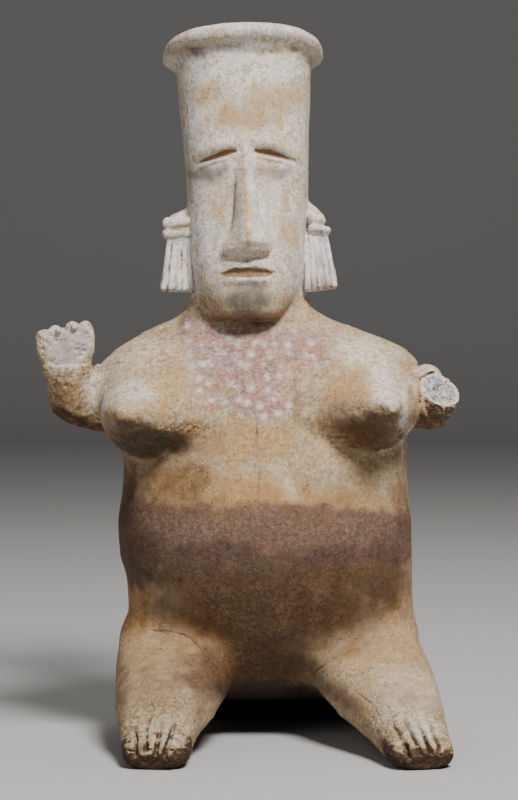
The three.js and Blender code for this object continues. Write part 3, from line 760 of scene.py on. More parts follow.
def toeGrooves(p, n):
    total = np.zeros(len(p))
    for index, one in enumerate(legs):
        place, reach = spanOf(one["hip"], one["toe"], upward)
        q = p - place["origin"]
        u, t = q @ place["u"], q @ place["w"] / reach
        top = (t > 0.72) & (n @ place["v"] < -0.05) & (np.abs(u) < 24)
        for i in range(toes["grooves"]):
            at = (i - (toes["grooves"] - 1) / 2) * toes["spread"] + toes["shift"]
            start = 0.775 + 0.02 * math.sin(i * 2.3 + index)
            lean = at * (1.08 - 0.25 * np.clip((t - 0.77) / 0.25, 0, 1)) + 0.9 * lumps(p, 9, 31 + i)
            deep = toes["deep"] * (1 + toes["more"] * index) * smoothStep(start, start + 0.05, t)
            deep = deep * np.clip(0.8 + 0.6 * lumps(p, 3.1, 35), 0.4, 1.2)
            total = np.maximum(total, deep * hump(u - lean, toes["wide"]) * top)
    return total


# small pits, more of them where the surface is worn
def pitDepth(p, n):
    rng = np.random.default_rng(skin["seed"])
    tree = KDTree(len(p))
    for i, q in enumerate(p):
        tree.insert(q, i)
    tree.balance()
    total = np.zeros(len(p))
    py = seenAt(p)[1]
    hung = ((p[:, 0] < -40) | (p[:, 0] > 24)) & (p[:, 2] > 258) & (p[:, 2] < 296) & (p[:, 1] < 2)
    under = (np.abs(py - 440) < 22) & (n[:, 2] < -0.1) & (n[:, 1] < 0)
    areas = {
        "feet": {"mask": (p[:, 1] < -96) & (p[:, 2] < 60), "count": 260, "size": (0.5, 1.3), "deep": 0.7},
        "arm": {"mask": (p[:, 0] < -86) & (p[:, 2] > 184), "count": 210, "size": (0.5, 1.5), "deep": 0.85},
        "fringe": {"mask": hung, "count": 60, "size": (0.5, 0.9), "deep": 0.9},
        "stub": {"mask": (p[:, 0] > 84) & (p[:, 2] > 180), "count": 70, "size": (0.5, 1.2), "deep": 0.7},
        "under": {"mask": under, "count": 130, "size": (0.7, 1.6), "deep": 0.6},
        "all": {"mask": np.ones(len(p), bool), "count": 420, "size": (0.7, 1.5), "deep": 0.4},
    }
    for area in areas.values():
        chosen = np.nonzero(area["mask"])[0]
        for i in rng.choice(chosen, min(area["count"], len(chosen)), replace=False):
            size, deep = rng.uniform(*area["size"]), area["deep"] * rng.uniform(0.5, 1.2)
            for _, j, d in tree.find_range(p[i], size * 1.8):
                total[j] = max(total[j], deep * math.exp(-(d / size) ** 2))
    return total


def breakShape(p, slack=0):
    q = p - breakAxes["origin"]
    w = q @ breakAxes["w"]
    r = np.linalg.norm(q - w[:, None] * breakAxes["w"], axis=1)
    end = smoothStep(stubReach - 1.6 - slack, stubReach - 0.4 - slack, w) * (r < 15)
    core = end * smoothStep(10.6, 9.8, r + 0.8 * lumps(p, 4, 41))
    grain = 0.5 * lumps(p, 1.5, 42) + 0.35 * lumps(p, 0.8, 43)
    pit = 2.6 * hump(np.hypot(r, 0.6), 2.2)
    return core * (0.5 + grain + pit) + end * (1 - core) * 0.3 * lumps(p, 2.4, 44), core


normals = normalsOf(points, faces)
points = points + carveFace(points, normals)
normals = normalsOf(points, faces)
depth = crackDepth(points, normals)[0] + toeGrooves(points, normals)
uneven = carving["uneven"] * (0.7 * lumps(points, 34, 1) + 0.4 * lumps(points, 15, 2))
burnish = carving["burnish"] * (lumps(points * [1, 1, 0.6], 5, 5) + 0.8 * lumps(points, 2.4, 8))
x, y, z = points.T
hung = ((x < -40) | (x > 24)) * smoothStep(258, 264, z) * (z < 312) * (y < 4)
burnish = burnish + 0.4 * hung * lumps(points, 4.2, 9)
py = seenAt(points)[1]
forward, nz = normals[:, 1] < 0, normals[:, 2]
crusty = np.clip(
    smoothStep(-106, -122, y) * smoothStep(62, 44, z)
    + smoothStep(-88, -98, x) * smoothStep(226, 214, z)
    + 0.14 * smoothStep(84, 92, x) * smoothStep(176, 186, z)
    + 0.8 * smoothStep(0.0, -0.35, nz) * smoothStep(462, 448, py) * smoothStep(400, 414, py) * forward,
    0, 1)
ridge = smoothStep(462, 448, py) * smoothStep(398, 412, py) * (nz < 0.2) * forward * (z > 150)
crumb = carving["crust"] * (crusty + 1.1 * ridge) * (lumps(points, 2.6, 6) + 0.6 * lumps(points, 1.3, 7))
wrist = 0.9 * smoothStep(218.6, 217.0, z) * smoothStep(200, 212, z) * (x < -98) * forward
breakDepth = breakShape(points)[0]
pits = pitDepth(points, normals)
offFloor = smoothStep(1.0, 4.0, z)
gritty = crusty * offFloor * (0.35 + 0.65 * (lumps(points, 14, 10) > 0.1))
raisedClay = (uneven + burnish + crumb + wrist) * offFloor - depth - pits * offFloor - breakDepth
points = points + normals * raisedClay[:, None]
points[:, 2] = np.maximum(points[:, 2], 0)
print("carved:", len(points), "points")


# the hollow inside, coarser because only its mouth is seen
cavity = {
    "step": 4.0, "low": (-96, -104, 4), "high": (100, 92, 400), "margin": 30,
    "floor": 9, "neckTop": 262, "headWallMore": 0.8, "headFrom": 10, "headTo": 142,
    "neckSoft": 3, "legSoft": 4, "legWall": 9.5, "legTo": 0.46,
}


def hollowGap(p):
    p = p.astype(np.float32)
    q = p - headAxes["origin"]
    v, w = q @ headAxes["v"], q @ headAxes["w"]
    w = w - rimRise(v, w)
    body = np.maximum(stackGap(p, trunkForm) + skin["wall"], cavity["floor"] - p[:, 2])
    body = np.maximum(body, p[:, 2] - cavity["neckTop"])
    tube = stackGap(p, plainHead) + skin["wall"] + cavity["headWallMore"]
    tube = np.maximum(np.maximum(tube, cavity["headFrom"] - w), w - cavity["headTo"])
    gap = softMin(body, tube, cavity["neckSoft"])
    for form in legHollows:
        gap = softMin(gap, gapOf(p, form), cavity["legSoft"])
    return gap


plainHead = stacked(headAxes, head["rows"], head["squareness"], rimRise)
legHollows = [legForm(one, cavity["legWall"], cavity["legTo"]) for one in legs]
grid, corner = gridOf(hollowGap, cavity["low"], cavity["high"], cavity["step"], cavity["margin"])
inner, innerQuads = skinOf(grid, corner, cavity["step"])
innerFaces = trianglesOf(inner, innerQuads)
inner = settle(inner, hollowGap)
figure = meshFrom("clay_seated_figure", points, faces)
hollow = meshFrom("hollow_cutter", inner, innerFaces)
print("hollow:", len(inner), "points")
burnishedClay = bpy.data.materials.new("burnished_clay")


# the fringe and the grit, laid by Geometry Nodes

class Bench:
    def __init__(self, name, sizes):
        self.tree = bpy.data.node_groups.new(name, "GeometryNodeTree")
        self.tree.interface.new_socket("Geometry", in_out="INPUT", socket_type="NodeSocketGeometry")
        for label, kind in sizes.items():
            self.tree.interface.new_socket(label, in_out="INPUT", socket_type="NodeSocket" + kind)
        self.tree.interface.new_socket("Geometry", in_out="OUTPUT", socket_type="NodeSocketGeometry")
        self.start = self.tree.nodes.new("NodeGroupInput").outputs
        self.end = self.tree.nodes.new("NodeGroupOutput").inputs[0]

    def add(self, kind, settings=None, values=None, out=0):
        node = self.tree.nodes.new(kind)
        for name, value in (settings or {}).items():
            setattr(node, name, value)
        for name, value in (values or {}).items():
            if isinstance(value, bpy.types.NodeSocket):
                self.tree.links.new(value, node.inputs[name])
            else:
                node.inputs[name].default_value = value
        return node.outputs[out]

    def close(self, shape):
        real = self.add("GeometryNodeRealizeInstances", None, {"Geometry": shape})
        clad = {"Geometry": real, "Material": self.start["Material"]}
        painted = self.add("GeometryNodeSetMaterial", None, clad)
        self.tree.links.new(painted, self.end)

    def run(self, piece, sizes):
        worker = piece.modifiers.new("laid", "NODES")
        worker.node_group = self.tree
        for item in self.tree.interface.items_tree:
            if item.in_out == "INPUT" and item.name in sizes:
                worker[item.identifier] = sizes[item.name]
        return applied(piece)


fringe = {"Material": burnishedClay, "Strand": 0.00175, "Wander": 0.22}


def fringeTree():
    bench = Bench("fringe", {"Material": "Material", "Strand": "Float", "Wander": "Float"})
    line = bench.add("GeometryNodeMeshToCurve", None, {"Mesh": bench.start["Geometry"]})
    line = bench.add("GeometryNodeResampleCurve", None, {"Curve": line, "Count": 16})
    along = bench.add("GeometryNodeSplineParameter")
    swell = bench.add("ShaderNodeMapRange", None, {"Value": along, "To Min": 0.68, "To Max": 1.05})
    spot = bench.add("GeometryNodeInputPosition")
    rough = bench.add("ShaderNodeTexNoise", None, {"Vector": spot, "Scale": 420.0, "Detail": 1.0})
    rough = bench.add("ShaderNodeMath", {"operation": "SUBTRACT"}, {0: rough, 1: 0.5})
    rough = bench.add("ShaderNodeMath", {"operation": "MULTIPLY"}, {0: rough, 1: bench.start["Wander"]})
    size = bench.add("ShaderNodeMath", {"operation": "ADD"}, {0: swell, 1: rough})
    line = bench.add("GeometryNodeSetCurveRadius", None, {"Curve": line, "Radius": size})
    circle = {"Resolution": 10, "Radius": bench.start["Strand"]}
    ring = bench.add("GeometryNodeCurvePrimitiveCircle", {"mode": "RADIUS"}, circle)
    strand = {"Curve": line, "Profile Curve": ring, "Fill Caps": True}
    bench.close(bench.add("GeometryNodeCurveToMesh", None, strand))
    return bench


def fringeLines():
    rng = np.random.default_rng(7)
    spots, edges = [], []
    for one in ears:
        place, reach = spanOf(one["top"], one["foot"], toViewer)
        for i in range(pendant["strands"]):
            side = (i - (pendant["strands"] - 1) / 2) / (pendant["strands"] / 2)
            length = reach - rng.uniform(0.9, 1.9)
            for k in range(11):
                t = k / 10
                u = side * (pendantWide(t) + 0.3) + rng.uniform(-0.12, 0.12)
                spots.append(onAxes(place, u, -(2.0 + 0.45 * min(1, t * 3)), 2.2 + (length - 2.2) * t))
                if k:
                    edges.append((len(spots) - 2, len(spots) - 1))
    return (np.array(spots) + seatShift) / 1000, edges


grit = {"Material": burnishedClay, "Grain": 0.0005, "Apart": 0.0021, "Many": 70000.0, "Seed": 5}


def gritTree():
    kinds = {"Material": "Material", "Grain": "Float", "Apart": "Float", "Many": "Float", "Seed": "Int"}
    bench = Bench("grit", kinds)
    start = bench.start
    where = bench.add("GeometryNodeInputNamedAttribute", {"data_type": "FLOAT"}, {"Name": "gritty"})
    sown = {"Mesh": start["Geometry"], "Distance Min": start["Apart"], "Density Max": start["Many"],
            "Density Factor": where, "Seed": start["Seed"]}
    crumbs = bench.add("GeometryNodeDistributePointsOnFaces", {"distribute_method": "POISSON"}, sown)
    ball = bench.add("GeometryNodeMeshIcoSphere", None, {"Radius": start["Grain"], "Subdivisions": 2})
    ways = {"data_type": "FLOAT_VECTOR"}
    turn = bench.add("FunctionNodeRandomValue", ways, {0: (0, 0, 0), 1: (6.28, 6.28, 6.28), "Seed": 3})
    size = bench.add("FunctionNodeRandomValue", ways, {0: (0.6, 0.6, 0.5), 1: (1.6, 1.5, 1.2), "Seed": 4})
    laid = {"Points": crumbs, "Instance": ball, "Rotation": turn, "Scale": size}
    bench.close(bench.add("GeometryNodeInstanceOnPoints", None, laid))
    return bench


spots, edges = fringeLines()
lineMesh = bpy.data.meshes.new("fringe_lines")
lineMesh.from_pydata([tuple(q) for q in spots], edges, [])
strands = placed("clay_fringe", lineMesh)
fringeTree().run(strands, fringe)
print("fringe:", len(strands.data.polygons), "faces")

marks = figure.data.attributes.new("gritty", "FLOAT", "POINT")
marks.data.foreach_set("value", np.clip(gritty, 0, 1).astype(np.float32))
crumbs = placed("clay_grit", figure.data.copy())
gritTree().run(crumbs, grit)
print("grit:", len(crumbs.data.polygons) // 80, "crumbs")

for extra in (strands, crumbs):
    fuse = figure.modifiers.new(extra.name, "BOOLEAN")
    fuse.operation, fuse.object, fuse.solver = "UNION", extra, "MANIFOLD"
cut = figure.modifiers.new("hollow", "BOOLEAN")
cut.operation, cut.object, cut.solver = "DIFFERENCE", hollow, "MANIFOLD"
thin = figure.modifiers.new("thin", "DECIMATE")
thin.ratio = min(1, skin["triangles"] / (len(faces) + len(innerFaces)))
applied(figure)


# the thinning can leave faces back to back: they go, and the gaps they leave are closed
def mended(piece):
    piece.data.validate()
    work = bmesh.new()
    work.from_mesh(piece.data)
    for _ in range(4):
        crowded = [edge for edge in work.edges if len(edge.link_faces) != 2]
        if not crowded:
            break
        around = {side for edge in crowded for side in edge.link_faces}
        bmesh.ops.delete(work, geom=list(around), context="FACES")
        stray = [edge for edge in work.edges if not edge.link_faces]
        bmesh.ops.delete(work, geom=stray, context="EDGES")
        gaps = [edge for edge in work.edges if len(edge.link_faces) == 1]
        filled = bmesh.ops.holes_fill(work, edges=gaps, sides=0)["faces"]
        bmesh.ops.triangulate(work, faces=filled)
    bmesh.ops.recalc_face_normals(work, faces=work.faces)
    left = sum(len(edge.link_faces) != 2 for edge in work.edges)
    work.to_mesh(piece.data)
    work.free()
    return left


print("mended, edges left open:", mended(figure))
for helper in (hollow, strands, crumbs):
    bpy.data.objects.remove(helper)
figure.data.attributes.remove(figure.data.attributes["gritty"])
print("hollowed and thinned:", len(figure.data.vertices), "points", len(figure.data.polygons), "faces")

figure.data.shade_smooth()

# where the slip, the paint, the stains, the painted shade and the painted highlights lie

# each patch: across and down in the 518 x 800 frame, its two half sizes, how strong, and a lean in degrees
patches = {
    "pale": [
        # (258, 205) on the right flank of the nose is pale slip with a painted highlight over it
        (243, 62, 84, 46, 0.8, 0), (200, 235, 26, 66, 0.8, 0), (258, 205, 9, 56, 0.95, -4),
        (290, 190, 18, 40, 0.4, 0), (206, 158, 22, 4, 0.9, -8), (276, 158, 22, 4, 0.9, 8),
        (254, 281, 22, 3, 0.9, 0), (128, 362, 48, 24, 0.5, -24), (368, 358, 46, 26, 0.62, 26),
        (134, 396, 30, 15, 0.6, -14), (384, 384, 30, 20, 0.74, 24), (93, 384, 13, 17, 0.9, 0),
        (158, 688, 42, 46, 0.2, 0), (104, 396, 14, 20, 0.7, 0), (404, 702, 40, 44, 0.6, -18),
        (288, 490, 10, 14, 0.9, 0), (280, 468, 10, 16, 0.4, 0), (404, 418, 4.5, 58, 0.8, 3),
        (67, 344, 32, 26, 1.0, 0), (197, 120, 20, 52, 0.8, 0), (62, 365, 15, 2.6, 1.0, 0),
        (160, 736, 30, 18, 0.5, 0), (428, 735, 24, 18, 1.0, 0), (240, 290, 60, 26, 0.3, 0),
        (238, 33, 84, 9, 0.9, 0), (428, 374, 12, 9, 0.8, 0),
    ],
    "ochre": [
        (246, 120, 34, 14, 0.85, 0), (272, 106, 32, 19, 0.7, 0), (206, 96, 20, 14, 0.6, 0),
        (247, 238, 2.6, 9, 1.0, 0), (246, 205, 2.2, 24, 0.8, 0), (290, 234, 11, 20, 0.6, 0),
        (222, 200, 7, 30, 0.45, 0), (262, 140, 26, 8, 0.3, 0), (250, 442, 64, 26, 0.7, 0),
        (262, 500, 80, 20, 1.0, 0), (335, 505, 60, 16, 0.8, 0), (190, 490, 52, 26, 0.78, 0),
        (134, 606, 15, 42, 1.0, 0), (206, 640, 34, 24, 0.85, 32), (402, 602, 18, 36, 0.6, 0),
        (350, 652, 26, 16, 0.6, -30), (176, 384, 28, 22, 0.55, 0), (346, 382, 26, 22, 0.7, 0),
        (378, 690, 20, 16, 0.45, 0), (122, 415, 7, 5, 0.6, 0), (66, 391, 20, 15, 0.6, 0),
        (345, 440, 34, 18, 0.5, 0), (236, 660, 60, 26, 0.35, 0), (150, 408, 30, 8, 0.5, 0),
        (430, 746, 20, 10, 0.35, 0), (160, 762, 26, 9, 0.45, 0), (160, 668, 52, 60, 0.5, 0),
        (398, 656, 52, 56, 0.46, -16), (265, 535, 60, 20, 0.5, 0), (300, 590, 70, 40, 0.45, 0),
    ],
    "mauve": [
        (236, 346, 62, 27, 0.95, 0), (246, 374, 46, 26, 1.0, 0), (256, 402, 38, 15, 0.95, 0),
        (302, 346, 42, 20, 0.8, 20), (322, 330, 26, 12, 0.5, 18), (214, 400, 13, 12, 0.8, 0),
        # (436, 380) on the grey core of the break is a painted lavender highlight
        (192, 328, 20, 12, 0.6, -30), (67, 342, 28, 24, 0.52, 0), (436, 380, 6, 3.5, 0.9, 25),
        (406, 697, 12, 10, 0.5, 0), (350, 704, 34, 10, 0.5, 34), (388, 738, 14, 16, 0.55, 0),
        (150, 768, 34, 9, 0.4, 0), (430, 760, 26, 8, 0.3, 0),
    ],
    "redder": [
        (206, 408, 12, 16, 0.9, 0), (300, 364, 12, 40, 0.62, 24), (318, 336, 12, 14, 0.3, 0),
        (262, 418, 30, 7, 0.5, 0),
    ],
    "umberStainAndShade": [
        # real dark earth stains, and painted shade: under both breasts, down both flanks, under the belly
        # between the legs, under the rim, on the left flank and base of the nose, under the raised forearm,
        # under the stub and on the foot ends
        (268, 606, 122, 54, 1.0, 0), (265, 560, 150, 15, 1.0, 0), (200, 576, 56, 20, 0.95, 0),
        (335, 576, 60, 20, 0.95, 0), (250, 668, 70, 40, 1.0, 0), (138, 560, 24, 30, 1.0, 0),
        (380, 576, 36, 38, 0.85, 0), (148, 440, 44, 19, 1.0, 10), (366, 430, 36, 22, 0.95, -12),
        (124, 500, 13, 50, 0.8, 0), (172, 482, 62, 38, 0.54, 0), (345, 486, 60, 30, 0.36, 0),
        (402, 496, 13, 60, 0.55, 0), (214, 440, 22, 14, 0.4, 0), (246, 318, 44, 6, 0.6, 0),
        (66, 420, 28, 17, 0.95, 30), (62, 396, 10, 20, 0.6, 0), (430, 418, 26, 9, 0.7, 0),
        (340, 415, 20, 18, 0.45, 0), (200, 700, 14, 24, 0.5, 20), (345, 700, 30, 14, 0.4, 34),
        (155, 766, 34, 10, 1.0, 0), (428, 760, 28, 9, 0.9, 0), (118, 470, 8, 24, 0.6, 0),
        (122, 419, 8, 3, 0.7, 20), (397, 408, 6, 3, 0.5, 0), (190, 52, 30, 8, 0.5, 0),
        (238, 49, 80, 5, 0.5, 0), (310, 62, 10, 8, 0.4, 0), (122, 692, 9, 50, 0.55, 0),
        (68, 400, 22, 22, 0.5, 0), (164, 690, 50, 70, 0.26, 0), (396, 676, 56, 66, 0.2, -18),
        (186, 326, 13, 13, 0.7, 0), (234, 205, 5, 34, 0.3, 0), (254, 243, 24, 4, 0.5, 0),
        (254, 302, 26, 10, 0.5, 0), (176, 229, 14, 1.8, 0.7, 0), (320, 231, 14, 1.8, 0.6, 0),
        (176, 237, 15, 2, 0.5, 0), (322, 240, 13, 2, 0.5, 0),
    ],
    "deep": [
        # painted shade only: under the belly between the legs, under the left breast, low on the left flank
        # and belly, and under both foot ends
        (268, 694, 70, 12, 0.7, 0), (148, 444, 34, 12, 0.45, 10), (140, 572, 26, 26, 0.35, 0),
        (262, 572, 110, 20, 0.22, 0), (152, 768, 36, 7, 0.6, 0), (424, 768, 34, 5, 0.5, 0),
    ],
    "sootAndShade": [
        # real grey deposits under the eyes, on the chin, the belly and the legs, and painted shade under the
        # rim, on the left flank of the nose and under both breasts
        (206, 174, 25, 10, 0.8, 0), (276, 174, 24, 9, 0.68, 0), (252, 298, 32, 18, 1.0, 0),
        (228, 286, 12, 9, 0.4, 0), (206, 205, 12, 24, 0.35, 0), (268, 190, 6, 20, 0.3, 0),
        (205, 285, 12, 18, 0.15, 0), (160, 690, 44, 50, 0.55, 0), (252, 538, 60, 18, 0.3, 0),
        (266, 600, 90, 30, 0.3, 0), (240, 92, 60, 8, 0.3, 0), (236, 200, 6, 44, 0.45, 0),
        (254, 318, 15, 4, 0.7, 0), (196, 46, 34, 9, 0.5, 0), (238, 47, 70, 5, 0.55, 0),
        (300, 50, 16, 6, 0.4, 0), (150, 437, 31, 13, 0.8, 12), (374, 424, 26, 13, 0.45, 0),
        (156, 684, 22, 9, 0.55, 8), (140, 722, 22, 16, 0.35, 0), (182, 706, 9, 8, 0.5, 0),
        (410, 735, 20, 9, 0.35, 0), (330, 215, 8, 22, 0.2, 0), (210, 220, 14, 26, 0.25, 0),
        (270, 300, 90, 40, 0.12, 0), (250, 560, 130, 18, 0.45, 0), (150, 645, 30, 10, 0.3, 0),
    ],
}
band = {"middle": 531, "half": 27, "rise": -0.03}


def patchField(name, p, px, py):
    total = np.zeros(len(px))
    bendX = 10 * lumps(p, 19, 61) + 6 * lumps(p, 8, 62) + 3 * lumps(p, 3.5, 63)
    bendY = 8 * lumps(p, 19, 64) + 5 * lumps(p, 8, 65) + 3 * lumps(p, 3.5, 66)
    for across, down, wide, tall, strong, lean in patches[name]:
        bend = min(1, min(wide, tall) / 18)
        c, s = math.cos(math.radians(lean)), math.sin(math.radians(lean))
        offX, offY = px + bend * bendX - across, py + bend * bendY - down
        x, y = offX * c + offY * s, offY * c - offX * s
        total = np.maximum(total, strong * (1 - smoothStep(0.3, 1.6, np.hypot(x / wide, y / tall))))
    return total


def paintPoints(piece):
    p = pointsOf(piece)
    n = normalsOf(p, trianglesIn(piece))
    px, py = seenAt(p)
    x, y, z = p.T
    u, v, w = headCoords(p)
    seen = smoothStep(0.25, -0.25, n[:, 1])
    hidden = 1 - seen
    wide = 0.5 + 0.5 * lumps(p, 48, 51)
    some = 0.5 + 0.5 * lumps(p, 26, 52)
    onHead = smoothStep(252, 268, z)
    zone = {name: patchField(name, p, px, py) * seen for name in patches}

    def lift(name, least):
        zone[name] = np.maximum(zone[name], least)

    uneasy = 7 * lumps(p, 26, 54) + 2.5 * lumps(p, 8, 55) + 1.5 * lumps(p, 2.4, 56)
    fromBand = py + uneasy + band["rise"] * (px - view["middle"][0]) - band["middle"]
    waist = 1 - smoothStep(0.55, 1.45, np.abs(fromBand) / band["half"])
    trunkOnly = (z > 70) & (z < 160)
    lift("mauve", waist * trunkOnly)
    neckGap = np.hypot(x + 9, y - 4)
    yoke = 1 - smoothStep(52, 74, neckGap + 0.7 * np.maximum(240 - z, 0))
    yoke = yoke * smoothStep(256, 248, z) * (z > 190)
    lift("mauve", yoke * hidden * 0.8)
    lift("pale", hidden * (0.35 + 0.4 * onHead) * smoothStep(0.25, 0.7, wide))
    lift("pale", 0.2 + 0.45 * onHead)
    lift("ochre", hidden * 0.8 * smoothStep(0.5, 0.85, some) * (1 - 0.5 * onHead))
    low = smoothStep(112, 84, z) * (y > -60)
    lift("umberStainAndShade", hidden * low * 0.8 * smoothStep(0.1, 0.6, wide))
    # painted shade: every surface facing downwards below the head is darkened with the umber tone
    lift("umberStainAndShade", smoothStep(-0.45, -0.85, n[:, 2]) * 0.8 * (z < 200))
    lift("sootAndShade", hidden * 0.5 * smoothStep(0.72, 0.95, 0.5 + 0.5 * lumps(p, 22, 53)))
    crack = crackDepth(p, n)[1] + 0.8 * toeGrooves(p, n) / toes["deep"] * smoothStep(0, -0.5, n[:, 1])
    core = breakShape(p, 4.4)[1]
    t = alongSlit(u)
    base = stackGap(p.astype(np.float32), headForm)
    sunk = smoothStep(-0.7, -2.4, base) * (v < -14) * (w < 110) * (w > 8) * seen
    atSlit = (np.abs(w - slitHeight(u)) < 5) & (t > -0.1) & (t < 1.1)
    sunk = sunk * (atSlit | (np.abs(w - mouthLine) < 5) & (np.abs(u) < 19))
    zone["groove"] = np.clip(crack, 0, 1)
    zone["sunk"] = sunk
    zone["core"] = core
    zone["within"] = ((hollowGap(p) < 2.5) & (z > 8)).astype(float)
    zone["raw"] = np.clip(
        smoothStep(-92, -99, x) * smoothStep(218, 216, z) * (z > 180)
        + 0.75 * smoothStep(-118, -128, y) * smoothStep(44, 36, z)
        + 0.2 * smoothStep(88, 93, x) * smoothStep(182, 188, z) * (1 - core)
        + 0.5 * (y < -60) * smoothStep(-96, -112, y) * smoothStep(60, 40, z), 0, 1)
    # undersides, the foot ends, the underside of the stub, the seat and the left flank are darkened as
    # painted shade; on the foot ends this also stands for real earth
    rightFoot = x > 0
    footEnd = smoothStep(-122 - 6 * rightFoot, -140, y) * smoothStep(0.95 - 0.15 * rightFoot, 0.3, n[:, 2])
    footEnd = footEnd * smoothStep(29 - 6 * rightFoot, 14 - 3 * rightFoot, z + 2 * lumps(p, 4, 57))
    stubUnder = 0.9 * smoothStep(80, 88, x) * smoothStep(-0.1, -0.75, n[:, 2]) * (z > 175)
    seat = smoothStep(40, 24, z) * (y > -60) * (y < 44) * (np.abs(x) < 90)
    zone["umberStainAndShade"] = np.maximum.reduce([zone["umberStainAndShade"], footEnd, stubUnder, seat])
    # painted shade down the left flank of the trunk, which faces away from the key light
    flank = smoothStep(-0.35, -0.8, n[:, 0]) * (z > 60) * (z < 176) * smoothStep(-70, -80, x)
    zone["deep"] = np.maximum.reduce([zone["deep"], 0.6 * footEnd, seat, 0.2 * stubUnder, 0.3 * flank])
    # the valleys between the strands of the fringe
    for one in ears:
        place, reach = spanOf(one["top"], one["foot"], toViewer)
        q = p - place["origin"]
        across, deep, t = q @ place["u"], q @ place["v"], q @ place["w"] / reach
        wide = pendantWide(np.clip(t, 0, 1))
        turn = (across / wide * 0.5 + 0.5) * pendant["strands"]
        valley = (0.5 + 0.5 * np.cos(2 * np.pi * turn)) ** 3 * ((t > 0) & (t < 1.02)) * (np.abs(deep) < 6)
        valley = valley * (np.abs(across) < wide) * (n[:, 1] < 0)
        lift("groove", valley * np.clip(2.2 * lumps(p * [1, 1, 0.5], 1.7, 71), 0, 1))
        hangs = ((t > -0.3) & (t < 1.05)) * (np.abs(across) < 13) * (np.abs(deep) < 12)
        lift("pale", hangs * (0.8 + 0.2 * (t > 0)))
        lift("mauve", 0.2 * hangs)
    q = p - breakAxes["origin"]
    fromAxis = np.linalg.norm(np.cross(q, breakAxes["w"]), axis=1)
    ring = (q @ breakAxes["w"] > stubReach - 2.2) * (x > 90) * (fromAxis < 15)
    zone["pale"] = np.where(ring, 0.62, zone["pale"])
    zone["raw"] = zone["raw"] * (1 - 0.8 * ring)
    for name, values in zone.items():
        layer = piece.data.attributes.new(name, "FLOAT", "POINT")
        layer.data.foreach_set("value", np.clip(values, 0, 1).astype(np.float32))


paintPoints(figure)
print("slip and paint laid out")


# materials

def tone(r, g, b):
    return tuple(((c / 255 + 0.055) / 1.055) ** 2.4 if c > 10 else c / 255 / 12.92 for c in (r, g, b)) + (1,)


# a socket that can be used in plain sums
class Wire:
    def __init__(self, box, socket):
        self.box, self.socket = box, socket

    def calc(self, operation, first, second):
        return self.box.add("ShaderNodeMath", {"operation": operation}, {0: first, 1: second})

    def __add__(self, other):
        return self.calc("ADD", self, other)

    __radd__ = __add__

    def __sub__(self, other):
        return self.calc("SUBTRACT", self, other)

    def __rsub__(self, other):
        return self.calc("SUBTRACT", other, self)

    def __mul__(self, other):
        return self.calc("MULTIPLY", self, other)


class Paintbox:
    def __init__(self, name):
        self.material = bpy.data.materials[name]
        self.material.use_nodes = True
        self.tree = self.material.node_tree
        self.shader = self.tree.nodes["Principled BSDF"]

    def put(self, socket, value):
        if isinstance(value, Wire):
            self.tree.links.new(value.socket, socket)
        else:
            socket.default_value = value

    def add(self, kind, settings=None, values=None, out=0):
        node = self.tree.nodes.new(kind)
        for name, value in (settings or {}).items():
            setattr(node, name, value)
        for name, value in (values or {}).items():
            self.put(node.inputs[name], value)
        return Wire(self, node.outputs[out])

    def zone(self, name):
        return self.add("ShaderNodeAttribute", {"attribute_name": name}, out="Fac")

    def stretched(self, place, by):
        return self.add("ShaderNodeVectorMath", {"operation": "MULTIPLY"}, {0: place, 1: by})

    def millimetres(self):
        return self.stretched(self.add("ShaderNodeTexCoord", out="Object"), (1000, 1000, 1000))

    def along(self, place, axis):
        return self.add("ShaderNodeSeparateXYZ", None, {"Vector": place}, axis)

    def grain(self, place, size, detail=3.0, rough=0.55, twist=0.0):
        values = {"Vector": place, "Scale": 1 / size, "Detail": detail, "Roughness": rough,
                  "Distortion": twist}
        return self.add("ShaderNodeTexNoise", {"noise_dimensions": "3D"}, values)

    def dots(self, place, size, loose=1.0, flat=False):
        values = {"Vector": place, "Scale": 1 / size, "Randomness": loose}
        settings = {"voronoi_dimensions": "2D" if flat else "3D"}
        return self.add("ShaderNodeTexVoronoi", settings, values, "Distance")

    def ease(self, value, low, high, bottom=0.0, top=1.0):
        settings = {"interpolation_type": "SMOOTHSTEP"}
        return self.add("ShaderNodeMapRange", settings,
                        {"Value": value, "From Min": low, "From Max": high, "To Min": bottom, "To Max": top})

    def mix(self, share, under, over, blend="MIX"):
        settings = {"data_type": "RGBA", "blend_type": blend}
        return self.add("ShaderNodeMix", settings, {0: share, 6: under, 7: over}, 2)

    def finish(self, colour, rough, height, strength, deep):
        self.put(self.shader.inputs["Base Color"], colour)
        self.put(self.shader.inputs["Roughness"], rough)
        bump = self.add("ShaderNodeBump", None, {"Height": height, "Strength": strength, "Distance": deep})
        self.put(self.shader.inputs["Normal"], bump)
        self.shader.inputs["Specular IOR Level"].default_value = 0.35
        return self.material


